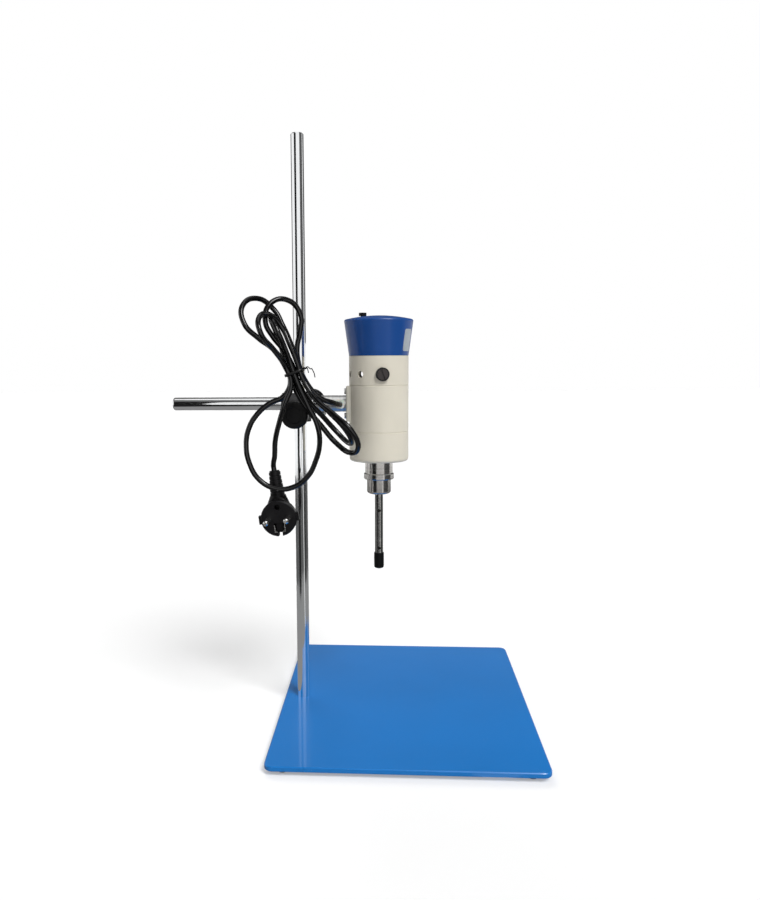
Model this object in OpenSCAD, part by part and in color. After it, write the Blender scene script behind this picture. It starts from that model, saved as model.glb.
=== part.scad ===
// Rotor stator homogenizer on its bench stand: a small universal motor with a dispersing tool,
// carried by a cross rod and a boss head on a pole that screws into a base plate.
// Millimetres, +Z up. The origin is on the standing surface, in the middle of the room that the base
// plate and the cross rod take together, and +X runs from the pole to the motor.

/* [Base plate] */
// Width of the base plate, left to right
base_w = 250; // [200:5:320]
// Depth of the base plate, front to back
base_d = 300; // [240:5:360]
// Thickness of the base plate
base_t = 5; // [4:0.5:10]
// Corner radius of the base plate
base_corner_r = 8; // [3:1:20]
// Width of the broken edge round the plate
base_edge = 0.8; // [0.2:0.1:1.5]
// Diameter of a rubber foot
foot_d = 12; // [8:1:20]
// Height of a rubber foot
foot_h = 4; // [2:0.5:8]
// Distance of a foot's centre from the plate's left and right edges
foot_inset_x = 16; // [12:1:30]
// Distance of a foot's centre from the plate's front and back edges
foot_inset_y = 12; // [11:1:30]

/* [Pole and cross rod] */
// Diameter of the pole
pole_d = 12.7; // [10:0.01:15]
// Length of the pole above the base plate
pole_len = 572; // [450:1:700]
// Distance of the pole's axis from the plate's left edge
pole_inset = 19; // [15:1:40]
// Diameter of the threaded stud under the pole
stud_d = 8; // [6:0.5:9]
// Diameter of the cross rod
rod_d = 12.7; // [10:0.01:15]
// Length of the cross rod
rod_len = 158; // [140:1:220]
// Height of the cross rod's axis above the plate
rod_h = 309; // [280:1:360]
// Wall of the boss head between the pole and the cross rod
rod_gap = 9.3; // [8.5:0.1:15]

/* [Boss head] */
// Wall of the boss head round the pole
pole_boss_wall = 4.65; // [3:0.05:8]
// Wall of the boss head round the cross rod
rod_boss_wall = 4.15; // [3:0.05:8]
// Length of the boss along the cross rod
rod_boss_len = 30; // [24:1:40]
// Height of the boss along the pole
pole_boss_h = 24; // [21:1:40]
// Diameter of the clamp screws
screw_d = 5; // [4:0.5:6]
// Diameter of a clamp knob
knob_d = 26; // [20:1:34]
// Thickness of a clamp knob
knob_t = 14; // [10:1:20]

/* [Motor housing] */
// Bare length of the cross rod between the boss head and the motor's sleeve
rod_bare = 5; // [1:1:40]
// Length of the sleeve on the cross rod
sleeve_len = 28.5; // [24:0.5:40]
// Outside diameter of the motor housing
body_d = 58; // [56:1:72]
// Wall of the motor housing
body_wall = 2.5; // [2:0.1:3]
// Thickness of the housing's floor
floor_t = 4; // [3:0.1:5]
// Height of the lower shell
lower_h = 29; // [27:0.5:36]
// Height of the middle shell
middle_h = 45; // [40:0.5:60]
// Height of the upper shell
upper_h = 28.5; // [26:0.5:36]
// Height of the cap's flared side
cap_h = 34.5; // [28:0.5:45]
// How far the cap's rim stands out from the housing
cap_flare = 4.5; // [2:0.1:8]
// Rise of the cap's dome above its rim
dome_h = 4; // [3:0.1:12]
// Diameter of an air hole
vent_d = 6.5; // [3:0.1:7.5]
// Number of air holes, all on the side of the pole
vents = 4; // [2:1:5]
// Angle between neighbouring air holes
vent_step = 36; // [24:1:36]
// Height of the cross rod's axis above the motor's underside
rod_seat_h = 56; // [47:1:60]

/* [Motor inside] */
// Diameter of the motor shaft
shaft_d = 6; // [5:0.5:6.5]
// Outside diameter of a ball bearing
bearing_d = 19; // [17:0.5:20]
// Width of a ball bearing
bearing_w = 6; // [5:0.5:6]
// Diameter of the armature
armature_d = 26.4; // [22:0.1:27]
// Number of armature slots
armature_slots = 12; // [8:1:14]
// Diameter of the cooling fan
fan_d = 40; // [30:1:41]
// Number of fan blades
fan_blades = 12; // [6:1:16]
// Diameter of the commutator
commutator_d = 18; // [14:0.5:19]

/* [Nose and tool] */
// Diameter of the motor's steel nose
nose_d = 27.5; // [25.5:0.1:34]
// How far the nose's lower collar stands out from it
collar_proud = 1.1; // [0.6:0.1:2.5]
// Length of the nose below the housing
nose_len = 18.4; // [16:0.1:24]
// Diameter of the tool's hub
hub_d = 23.5; // [22:0.1:28]
// Length of the hub below the nose
hub_len = 15.1; // [13:0.1:24]
// Outside diameter of the dispersing tube
tube_d = 8; // [7:0.1:10]
// Wall of the dispersing tube
tube_wall = 0.9; // [0.6:0.1:1]
// Length of the dispersing tube below the hub
tube_len = 74; // [64:1:140]
// Diameter of the tool's inner shaft
tool_shaft_d = 3.5; // [3:0.1:4]
// Number of slots in the stator
stator_slots = 8; // [6:2:10]
// Number of teeth on the rotor
rotor_teeth = 6; // [4:2:8]
// Wall of the tip cap
tip_cap_wall = 0.85; // [0.6:0.05:2]
// Length of the tip cap
tip_cap_len = 15.9; // [12:0.1:24]

/* [Mains lead] */
// Diameter of the mains lead
cord_d = 5; // [4:0.1:5.2]
// Diameter of the plug's face
plug_d = 34; // [32:0.5:38]

/* [Hidden] */
$fn = 64;

// Clearances
fit = 0.05;         // radial running and seating clearance
bore_fit = 0.08;    // radial clearance of the pole and the rod in the boss head and the sleeve
gap = 0.1;          // end clearance of a screw tip
weld = 0.5;         // how far a boss runs into the wall that carries it
cut = 1;            // how far a cutting solid runs past a face

// Stand
plate_top = foot_h + base_t;
rod_seat = 14;                                      // of the rod inside the sleeve
rod_free = rod_len - rod_boss_len/2 - rod_bare - rod_seat;   // of the rod to the left of the pole's axis
plate_x = max(0, rod_free - pole_inset)/2;
pole_x = plate_x - base_w/2 + pole_inset;
pole_r = pole_d/2;
rod_r = rod_d/2;
rod_y = -(pole_r + rod_gap + rod_r);
rod_z = plate_top + rod_h;
end_chamfer = 1.2;
foot_edge = 1;

// Boss head
screw_r = screw_d/2;
screw_wall = 0.95;                                  // metal between a screw and the bar it passes
pole_screw_z = rod_z - rod_r - screw_r - screw_wall;
rod_screw_x = pole_x + pole_r + screw_r + screw_wall;
pole_boss_r = pole_r + pole_boss_wall;
rod_boss_r = rod_r + rod_boss_wall;
pole_boss_top = 5;                                  // of the boss above the rod's axis
web_drop = rod_boss_r + 2.5;                        // of the web below the rod's axis
lug_r = 7;
lug_len = 13;                                       // past the rod's axis, or past the pole's
web_w = 18;
rib_w = 8;
rib_rise = 13;
rib_in = 0.6;                                       // of the rib behind the pole's front
knob_gap = 2;
knob_collar_r = lug_r - 1;
knob_edge = 1.6;
knob_dish_r = 8;
knob_dish = 0.6;
knob_screw_depth = 8;
front_lug_y = rod_y - lug_len;
rear_lug_y = lug_len + 1;

// Motor housing, heights above the motor's underside
body_r = body_d/2;
pad_t = 2.5;                                        // of the pad outside the housing
tool_x = pole_x + rod_boss_len/2 + rod_bare + sleeve_len + pad_t + body_r;
body_z = rod_z - rod_seat_h;
wall_r = body_r - body_wall;                        // inside radius of the shells
core_r = wall_r - 0.1;
z_middle = lower_h;
z_upper = z_middle + middle_h;
z_cap = z_upper + upper_h;
z_rim = z_cap + cap_h;
z_apex = z_rim + dome_h;
rim_r = body_r + cap_flare;
bottom_edge = 3;
lip_wall = 1.25;
lip_h = 2.5;
lip_r = wall_r - fit;
core_bottom = z_middle + lip_h;
core_top = z_upper - lip_h;
seam = 0.5;                                         // edge break at each seam

// Sleeve and pad that join the motor to the cross rod
sleeve_r = rod_r + 1.65;
pad_w = 24;
pad_h = 34;
pad_depth = 7;
pad_corner = 1.2;
pad_x = tool_x - body_r - pad_t;                    // outer face of the pad
sleeve_x = pad_x - sleeve_len;                      // free end of the sleeve
rod_right = sleeve_x + rod_seat;
rod_left = rod_right - rod_len;
rod_round = 2;
pad_screw_z = 12;
pad_screw_r = 1.5;
pad_head_r = 2.9;
pad_head_h = 2.2;
set_screw_r = 2;
set_screw_len = 4.5;
set_screw_x = sleeve_x + 6;
wire_hole_r = 4;

// Grommet and mains lead
cord_r = cord_d/2;
grommet_x = pad_x - 6;
grommet_r = 4.8;
grommet_neck_r = cord_r + 1.05;
grommet_proud = 1;
cord_clear = 0.15;

// Motor inside
shaft_r = shaft_d/2;
shaft_low = -6;
bearing_r = bearing_d/2;
seat_r = bearing_r + fit;
low_bearing_z = 3;
bracket_z = z_cap - 9.5;
bracket_t = 3;
bracket_hub_r = bearing_r + 2.5;
ledge_h = 2;
high_bearing_z = bracket_z;
bracket_roof = 2.2;
shaft_top = high_bearing_z + bearing_w + 1;
shaft_clear = 0.6;                                  // round the shaft in the bracket's roof
armature_r = armature_d/2;
armature_z = core_bottom + 1;
armature_h = core_top - core_bottom - 2;
slot_ring_r = armature_r - 2.6;
slot_r = 1.45;
slot_mouth = 1.2;
air_gap = 0.4;
coil_over = 5;                                      // of the windings past the core
coil_gap = 0.3;                                     // round a coil, from the core
yoke_r = core_r - 5.9;
coil_r_out = yoke_r - coil_gap;
pole_tip_r = armature_r + air_gap + 3.4;
pole_neck_w = 16;
pole_arc = 60;
coil_arc = 55;
bolt_ring_r = wall_r - 3;
bolt_r = 1.5;
bolt_head_r = 2.5;
bolt_head_h = 2.5;
post_r = 2.5;
post_floor = 2;                                     // solid foot of a bolt post
fan_z = 15;
fan_h = 9;
fan_disc = 1.5;
fan_hub_r = 6;
blade_in = 0.2;                                     // of a blade behind the fan's rim
port_h = 10.8;                                      // of brushes and air holes above the upper seam
port_z = z_upper + port_h;
commutator_h = 12;
commutator_r = commutator_d/2;
brush_turn = 8;
brush_w = 5;
brush_h = 4;
brush_len = 8;
holder_r = 5.4;
holder_bore_r = 3.6;
holder_ring_r = 6.5;
holder_proud = 2.4;
holder_off = 1.2;                                   // from a brush holder to the commutator
brush_cap_floor = wall_r - 0.15;
brush_cap_r = 5;
brush_cap_proud = 3.2;
brush_slot_turn = 70;
spring_coil_r = 2.2;
spring_wire_r = 0.3;
spring_turns = 5;
spring_sides = 5;

// Speed control
board_post_h = 11;
board_post_x = 15;
board_post_r = 2.5;
board_r = 22;
board_t = 1.6;
board_z = bracket_z + bracket_t + board_post_h;
knob_off_x = -15.5;
pot_r = 8;
pot_h = 7;
pot_bush_r = 3;
pot_shaft_r = 2;
pot_seat_z = z_rim - 0.5;
pot_boss_r = 6.5;
pot_floor = 2;
speed_knob_r = 3.7;
speed_knob_h = 3;
knob_lift = 0.3;
speed_knob_z = dome_z(-knob_off_x - speed_knob_r) + knob_lift;
knob_flutes = 16;
flute_r = 0.45;
flute_out = 0.15;

// Nose
spigot_r = seat_r + 2.4;
spigot_h = 10;
nose_r = nose_d/2;
collar_r = nose_r + collar_proud;
collar_h = 6;
collar_edge = 0.8;
nose_bore_r = 10.05;
nose_bore_top = -5;
nose_step_r = 8;
shoulder_r = 7;
lock_ring_r = spigot_r + 4;
lock_ring_h = 3.5;

// Dispersing tool, heights from the motor's underside
hub_r = hub_d/2;
hub_top = -nose_len;
hub_bottom = hub_top - hub_len;
hub_cone_h = 3;
hub_cone_r = 6;
hub_spigot_r = nose_bore_r - fit;
hub_spigot_top = nose_bore_top - 1;
hub_cavity_r = 7;
hub_cavity_z = -16;
seal_z = -11;
seal_wire_r = 0.75;
seal_groove = 2*seal_wire_r + 0.2;
seal_inset = 0.02;
tube_r = tube_d/2;
tube_bore_r = tube_r - tube_wall;
tube_in_hub = 7.5;
tube_top = hub_bottom + tube_in_hub;
tube_bottom = hub_bottom - tube_len;
tool_shaft_r = tool_shaft_d/2;
bush_h = 8;
vent_hole_r = 1.65;
high_hole_z = hub_bottom - 16.5;
low_hole_z = tube_bottom + 19.5;
slot_w = 1.2;
slot_h = 7;
rotor_r = tube_bore_r - 0.2;
rotor_h = 7;
rotor_lift = 1;
rotor_slot_w = 1.1;
rotor_bore_r = 1.2;
rotor_seat = 2;
low_bush_z = tube_bottom + 8.6;
dog_r = 6;
dog_len = 12;
dog_bore_h = 6;
dog_slot_w = 2.6;
dog_slot_h = 5;
tang_t = 2.4;
tang_w = 8;
tang_h = 4.5;
tip_cap_floor = 1.2;
tip_r = tube_r + fit + tip_cap_wall;

// Mains lead: a hank of loops under a tie, one large hanging loop and the plug's lead. Its points, the
// tie and the plug are placed from the pole's axis at the height of the cross rod.
// Where the hank passes the tie it lies in a grid of lanes, three across and three deep.
tie_at = [3, -66, 31];
tie_lean = 19;
lane_pitch = 5.9;
lane_end = 9;
tie_half = 8.6;
tie_t = 1;
tie_w = 2.5;
tie_tail = 17;
left = -1;
middle = 0;
right = 1;
front = -1;
back = 1;
cord_sides = 8;
loop_arc = [0, 60, 120, 180];
up_v = [-sin(tie_lean), 0, cos(tie_lean)];
side_v = [cos(tie_lean), 0, sin(tie_lean)];
back_v = [0, 1, 0];

// Plug, in a frame whose origin is in the middle of its face
plug_at = [-13.4, -72, -105.5];
plug_roll = 7;
plug_r = plug_d/2;
plug_rim = 9;
plug_depth = 26;
plug_back_r = 11;
plug_step_r = 15;
relief_y = 14;
relief_z = 20;
relief_h = 24;
relief_r0 = 7;
relief_r1 = 5.4;
relief_ribs = 6;
neck_r = 7.6;
neck_h = 4;
lead_in = 8;                                        // of the lead inside the plug's neck
lead_clear = 0.5;
pin_pitch = 19;
pin_r = 2.4;
pin_len = 19;
pin_in = 6;
socket_r = 2.75;
socket_z = 11;
recess_w = 10.5;
recess_h = 13;
recess_rim = 4;                                     // of the face left below the recess
recess_depth = 9;
notch_w = 4;
tongue_w = 6.1;
tongue_in = 1.5;
tongue_lift = 1.6;
clip_t = 0.8;
clip_foot = 1.8;
lug_w = 2;
lug_h = 8;
lug_in = 2;
socket_depth = 10;
plug_up = [-sin(plug_roll), 0, cos(plug_roll)];

// ---- Shared shapes ----

module tube(r_out, r_in, h) {
  difference() {
    cylinder(r = r_out, h = h);
    translate([0, 0, -cut]) cylinder(r = r_in, h = h + 2*cut);
  }
}

// A cylinder that starts at y = from and runs towards -Y
module rod_forward(r, from, len) {
  translate([0, from, 0]) rotate([90, 0, 0]) cylinder(r = r, h = len);
}

// A bar along X that starts at x = from
module rod_across(r, from, len) {
  translate([from, 0, 0]) rotate([0, 90, 0]) cylinder(r = r, h = len);
}

module at_tool() {
  translate([tool_x, rod_y, body_z]) children();
}

module at_brush(side) {
  at_tool() rotate([0, 0, brush_turn + side]) translate([0, 0, port_z]) children();
}

// A wedge that covers the angles -half to half round +X
module wedge(half, r, h) {
  linear_extrude(h) polygon(concat([[0, 0]], [for (k = [-3:3]) r*[cos(half*k/3), sin(half*k/3)]]));
}

function arc(c, r, a0, a1, n) = [for (k = [0:n]) let (a = a0 + (a1 - a0)*k/n) c + r*[cos(a), sin(a)]];

// ---- Stand ----

module plate_slab(r, h) {
  for (sx = [-1, 1], sy = [-1, 1])
    translate([plate_x + sx*(base_w/2 - base_corner_r), sy*(base_d/2 - base_corner_r), 0])
      cylinder(r = r, h = h, $fn = 32);
}

module base_plate() {
  color("#2b78c4") difference() {
    translate([0, 0, foot_h]) hull() {
      plate_slab(base_corner_r - base_edge, base_t);
      translate([0, 0, base_edge]) plate_slab(base_corner_r, base_t - 2*base_edge);
    }
    translate([pole_x, 0, foot_h - cut]) cylinder(d = stud_d + 2*fit, h = base_t + 2*cut);
  }
}

module rubber_feet() {
  r = foot_d/2;
  color("#202020")
    for (sx = [-1, 1], sy = [-1, 1])
      translate([plate_x + sx*(base_w/2 - foot_inset_x), sy*(base_d/2 - foot_inset_y), 0])
        rotate_extrude()
          polygon([[0, 0], [r - foot_edge, 0], [r, foot_edge], [r, foot_h], [0, foot_h]]);
}

module pole() {
  stud_r = stud_d/2;
  color("#c8ccd0") translate([pole_x, 0, plate_top]) rotate_extrude()
    polygon([[0, -base_t + base_edge], [stud_r - base_edge, -base_t + base_edge],
      [stud_r, -base_t + 2*base_edge], [stud_r, 0], [pole_r, 0], [pole_r, pole_len - end_chamfer],
      [pole_r - end_chamfer, pole_len], [0, pole_len]]);
}

// ---- Boss head and its clamp screws ----

module boss_blank() {
  translate([pole_x, 0, rod_z + pole_boss_top - pole_boss_h]) cylinder(r = pole_boss_r, h = pole_boss_h);
  translate([pole_x, rod_y, rod_z]) rod_across(rod_boss_r, -rod_boss_len/2, rod_boss_len);
  translate([pole_x - web_w/2, rod_y, rod_z - web_drop]) cube([web_w, -rod_y, web_drop + pole_boss_top]);
  translate([pole_x, 0, pole_screw_z]) rod_forward(lug_r, -lug_r, -front_lug_y - lug_r);
  translate([rod_screw_x, 0, rod_z]) rod_forward(lug_r, rear_lug_y, rear_lug_y - rod_y - lug_r);
  boss_rib();
}

// Tapered rib in front of the pole, above the rod boss
module boss_rib() {
  rib_t = -rod_y - rod_boss_r - pole_r + cut;
  top = rod_z + rib_rise;
  translate([pole_x, -pole_r - rib_in, 0]) rotate([90, 0, 0]) linear_extrude(rib_t)
    polygon([[-web_w/2, rod_z], [web_w/2, rod_z], [rib_w/2, top], [-rib_w/2, top]]);
}

module boss_head() {
  color("#2a2a2c") difference() {
    boss_blank();
    translate([pole_x, 0, rod_z - pole_boss_h - cut])
      cylinder(r = pole_r + bore_fit, h = 2*pole_boss_h);
    translate([pole_x, rod_y, rod_z])
      rod_across(rod_r + bore_fit, -rod_boss_len/2 - cut, rod_boss_len + 2*cut);
    translate([pole_x, 0, pole_screw_z]) rod_forward(screw_r + fit, 0, -front_lug_y + cut);
    translate([rod_screw_x, 0, rod_z]) rod_forward(screw_r + fit, rear_lug_y + cut, rear_lug_y - rod_y);
  }
}

// Round knob on +Z: its collar starts at z = 0
module clamp_knob() {
  r = knob_d/2;
  collar_h = knob_gap - gap;
  color("#161616") difference() {
    rotate_extrude() polygon([[0, 0], [knob_collar_r, 0], [knob_collar_r, collar_h],
      [r - knob_edge, collar_h], [r, collar_h + knob_edge], [r, collar_h + knob_t - knob_edge],
      [r - knob_edge, collar_h + knob_t], [knob_dish_r, collar_h + knob_t],
      [knob_dish_r - knob_dish, collar_h + knob_t - knob_dish], [0, collar_h + knob_t - knob_dish]]);
    translate([0, 0, -cut]) cylinder(r = screw_r + fit, h = knob_screw_depth + cut);
  }
}

module clamp_screw(len) {
  tip = 0.8;
  color("#9a9da0") rotate_extrude()
    polygon([[0, 0], [screw_r, 0], [screw_r, len - tip], [screw_r - tip, len], [0, len]]);
}

module pole_knob() {
  translate([pole_x, front_lug_y - gap, pole_screw_z]) rotate([90, 0, 0]) clamp_knob();
}

module pole_screw() {
  start = front_lug_y - gap - knob_screw_depth;
  translate([pole_x, start, pole_screw_z]) rotate([-90, 0, 0]) clamp_screw(-pole_r - gap - start);
}

module rod_knob() {
  translate([rod_screw_x, rear_lug_y + gap, rod_z]) rotate([-90, 0, 0]) clamp_knob();
}

module rod_screw() {
  start = rear_lug_y + gap + knob_screw_depth;
  translate([rod_screw_x, start, rod_z]) rotate([90, 0, 0]) clamp_screw(start - (rod_y + rod_r + gap));
}

module cross_rod() {
  color("#c8ccd0") translate([rod_left, rod_y, rod_z]) rotate([0, 90, 0]) rotate_extrude()
    polygon(concat([[0, 0]], arc([rod_r - rod_round, rod_round], rod_round, -90, 0, 6),
      [[rod_r, rod_len - end_chamfer], [rod_r - end_chamfer, rod_len], [0, rod_len]]));
}

// ---- Sleeve and pad ----

module mount_sleeve() {
  color("#c4c7c9") translate([0, rod_y, rod_z]) difference() {
    rod_across(sleeve_r, sleeve_x, sleeve_len);
    rod_across(rod_r + bore_fit, sleeve_x - cut, sleeve_len + 2*cut);
    translate([grommet_x, 0, 0]) rod_forward(grommet_neck_r + fit, 0, sleeve_r + cut);
    translate([set_screw_x, 0, -sleeve_r - cut]) cylinder(r = set_screw_r + fit, h = sleeve_r + cut);
  }
}

module sleeve_set_screw() {
  slot = 0.8;
  tip_z = rod_z - rod_r - bore_fit;
  color("#8d9093") translate([set_screw_x, rod_y, tip_z - set_screw_len]) difference() {
    cylinder(r = set_screw_r, h = set_screw_len);
    translate([-set_screw_r - cut, -slot/2, -cut]) cube([2*(set_screw_r + cut), slot, cut + slot]);
  }
}

module cord_grommet() {
  face = -sleeve_r - grommet_proud;
  color("#f4f2ea") translate([grommet_x, rod_y, rod_z]) difference() {
    union() {
      rod_forward(grommet_r, 0, -face);
      rod_forward(grommet_neck_r, 0, -face);
    }
    difference() {
      rod_across(sleeve_r, -2*grommet_r, 4*grommet_r);
      rod_forward(grommet_neck_r, cut, sleeve_r + 3*cut);
    }
    rod_across(rod_r + bore_fit, -2*grommet_r, 4*grommet_r);
    rod_forward(cord_r + fit, cut, -face + 2*cut);
  }
}

module mount_pad() {
  color("#d9d6c8") translate([0, rod_y, rod_z - pad_h/2]) difference() {
    linear_extrude(pad_h) polygon([[pad_x, -pad_w/2 + pad_corner], [pad_x + pad_corner, -pad_w/2],
      [pad_x + pad_depth, -pad_w/2], [pad_x + pad_depth, pad_w/2], [pad_x + pad_corner, pad_w/2],
      [pad_x, pad_w/2 - pad_corner]]);
    translate([tool_x, 0, -cut]) cylinder(r = body_r + fit, h = pad_h + 2*cut);
    translate([0, 0, pad_h/2]) {
      rod_across(wire_hole_r, pad_x - cut, pad_depth + 2*cut);
      for (s = [-1, 1]) translate([0, 0, s*pad_screw_z])
        rod_across(pad_screw_r + fit, pad_x - cut, pad_depth + 2*cut);
    }
  }
}

module pad_screws() {
  end_x = tool_x - wall_r - 2*gap;
  slot = 0.9;
  color("#8d9093") for (s = [-1, 1]) translate([0, rod_y, rod_z + s*pad_screw_z]) difference() {
    union() {
      rod_across(pad_head_r, pad_x - pad_head_h, pad_head_h);
      rod_across(pad_screw_r, pad_x, end_x - pad_x);
    }
    translate([pad_x - pad_head_h - cut, -slot/2, -pad_head_r - cut])
      cube([cut + slot, slot, 2*(pad_head_r + cut)]);
  }
}

// ---- Motor housing ----

module shell(z, h) {
  translate([0, 0, z]) rotate_extrude() polygon([[wall_r, 0], [body_r - seam, 0], [body_r, seam],
    [body_r, h - seam], [body_r - seam, h], [wall_r, h]]);
}

module body_lower() {
  color("#d7d1c1") at_tool() difference() {
    union() {
      rotate_extrude() polygon(concat([[spigot_r + fit, 0]],
        arc([body_r - bottom_edge, bottom_edge], bottom_edge, -90, 0, 6),
        [[body_r, lower_h - seam], [body_r - seam, lower_h], [wall_r, lower_h], [wall_r, floor_t],
        [spigot_r + fit, floor_t]]));
      rotate_extrude() polygon([[lip_r - lip_wall, lower_h - lip_h], [wall_r + fit, lower_h - lip_h],
        [wall_r + fit, lower_h], [lip_r, lower_h], [lip_r, lower_h + lip_h],
        [lip_r - lip_wall, lower_h + lip_h]]);
      for (s = [-1, 1]) translate([s*bolt_ring_r, 0, floor_t - weld])
        cylinder(r = post_r, h = core_bottom - floor_t + weld);
    }
    for (s = [-1, 1]) translate([s*bolt_ring_r, 0, floor_t + post_floor])
      cylinder(r = bolt_r + fit, h = core_bottom);
  }
}

module body_middle() {
  color("#d7d1c1") at_tool() difference() {
    shell(z_middle, middle_h);
    translate([0, 0, rod_seat_h]) {
      rod_across(wire_hole_r, -body_r - cut, body_wall + 2*cut);
      for (s = [-1, 1]) translate([0, 0, s*pad_screw_z])
        rod_across(pad_screw_r + fit, -body_r - cut, body_wall + 2*cut);
    }
  }
}

module body_upper() {
  color("#d7d1c1") difference() {
    at_tool() {
      shell(z_upper, upper_h);
      rotate_extrude() polygon([[lip_r - lip_wall, z_upper - lip_h], [lip_r, z_upper - lip_h],
        [lip_r, z_upper], [wall_r + fit, z_upper], [wall_r + fit, z_upper + lip_h],
        [lip_r - lip_wall, z_upper + lip_h]]);
      rotate_extrude() polygon([[lip_r - lip_wall, bracket_z - ledge_h],
        [wall_r + fit, bracket_z - ledge_h], [wall_r + fit, bracket_z], [lip_r - lip_wall, bracket_z]]);
      rotate_extrude() polygon([[lip_r - lip_wall, z_cap - lip_h], [wall_r + fit, z_cap - lip_h],
        [wall_r + fit, z_cap], [lip_r, z_cap], [lip_r, z_cap + lip_h], [lip_r - lip_wall, z_cap + lip_h]]);
    }
    at_tool() for (k = [1:vents]) rotate([0, 0, -90 - (k - (vents + 1)/2)*vent_step])
      translate([0, 0, port_z]) rod_forward(vent_d/2, -wall_r + 3, body_wall + 3 + cut);
    for (side = [0, 180]) at_brush(side) rod_forward(holder_ring_r, -wall_r + 3, body_wall + 3 + cut);
  }
}

// Half outline of the cap: flared side, soft rim and dome, set in by t
function dome_r() = (pow(rim_r, 2) + pow(dome_h, 2))/(2*dome_h);
function dome_z(r) = z_apex - dome_r() + sqrt(pow(dome_r(), 2) - pow(r, 2));
function cap_outline(t) = let (rim = rim_r - t, soft = 1.4) concat(
  [[0, z_cap], [body_r - t, z_cap], [rim, z_rim - soft]],
  [for (k = [1:6]) let (r = rim - soft*(1 - cos(15*k)))
    [r, z_rim - soft + (soft + dome_z(r) - z_rim - t)*sin(15*k)]],
  [for (k = [5:-1:0]) let (r = (rim - soft)*k/6) [r, dome_z(r) - t]]);

module top_cap() {
  color("#1b4696") at_tool() difference() {
    rotate_extrude() polygon(cap_outline(0));
    difference() {
      translate([0, 0, -fit]) rotate_extrude() polygon(cap_outline(body_wall));
      translate([knob_off_x, 0, pot_seat_z]) cylinder(r = pot_boss_r, h = dome_h);
    }
    translate([knob_off_x, 0, pot_seat_z - cut]) cylinder(r = pot_bush_r + fit, h = dome_h + 2*cut);
  }
}

// ---- Steel nose ----

module nose_sleeve() {
  color("#b5b5b2") at_tool() rotate_extrude() polygon([[shoulder_r, 0], [shoulder_r, low_bearing_z],
    [seat_r, low_bearing_z], [seat_r, spigot_h], [spigot_r, spigot_h], [spigot_r, 0], [nose_r, 0],
    [nose_r, -nose_len + collar_h], [collar_r - collar_edge, -nose_len + collar_h],
    [collar_r, -nose_len + collar_h - collar_edge], [collar_r, -nose_len + collar_edge],
    [collar_r - collar_edge, -nose_len], [nose_bore_r, -nose_len], [nose_bore_r, nose_bore_top],
    [nose_step_r, nose_bore_top], [nose_step_r, 0]]);
}

module nose_lock_ring() {
  notch = 2.5;
  color("#8d9093") at_tool() translate([0, 0, floor_t]) difference() {
    tube(lock_ring_r, spigot_r + fit, lock_ring_h);
    for (a = [0:90:270]) rotate([0, 0, a]) translate([lock_ring_r - notch/2, -notch/2, -cut])
      cube([notch, notch, lock_ring_h + 2*cut]);
  }
}

// ---- Motor inside ----

module stator_core() {
  h = core_top - core_bottom;
  color("#5c5f62") at_tool() translate([0, 0, core_bottom]) difference() {
    union() {
      tube(core_r, yoke_r, h);
      for (side = [90, 270]) rotate([0, 0, side]) intersection() {
        tube(yoke_r + weld, armature_r + air_gap, h);
        union() {
          translate([0, -pole_neck_w/2, 0]) cube([yoke_r + cut, pole_neck_w, h]);
          intersection() {
            cylinder(r = pole_tip_r, h = h);
            wedge(pole_arc, 2*yoke_r, h);
          }
        }
      }
    }
    for (s = [-1, 1]) translate([s*bolt_ring_r, 0, -cut]) cylinder(r = bolt_r + gap, h = h + 2*cut);
  }
}

module field_coils() {
  h = core_top - core_bottom;
  color("#9c4f24") at_tool() for (side = [90, 270]) rotate([0, 0, side]) difference() {
    intersection() {
      translate([0, 0, core_bottom - coil_over]) tube(coil_r_out, pole_tip_r + coil_gap, h + 2*coil_over);
      translate([0, 0, core_bottom - coil_over]) wedge(coil_arc, 2*coil_r_out, h + 2*coil_over);
    }
    translate([0, -pole_neck_w/2 - coil_gap, core_bottom - coil_gap])
      cube([coil_r_out + cut, pole_neck_w + 2*coil_gap, h + 2*coil_gap]);
  }
}

// Shielded ball bearing that starts at z = 0
module ball_bearing() {
  ring_t = 2;
  shield = 0.4;
  color("#a9acae") rotate_extrude() polygon([[shaft_r + fit, 0], [shaft_r + ring_t, 0],
    [shaft_r + ring_t, shield], [bearing_r - ring_t, shield], [bearing_r - ring_t, 0], [bearing_r, 0],
    [bearing_r, bearing_w], [bearing_r - ring_t, bearing_w], [bearing_r - ring_t, bearing_w - shield],
    [shaft_r + ring_t, bearing_w - shield], [shaft_r + ring_t, bearing_w], [shaft_r + fit, bearing_w]]);
}

module lower_bearing() {
  at_tool() translate([0, 0, low_bearing_z]) ball_bearing();
}

module upper_bearing() {
  at_tool() translate([0, 0, high_bearing_z]) ball_bearing();
}

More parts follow.
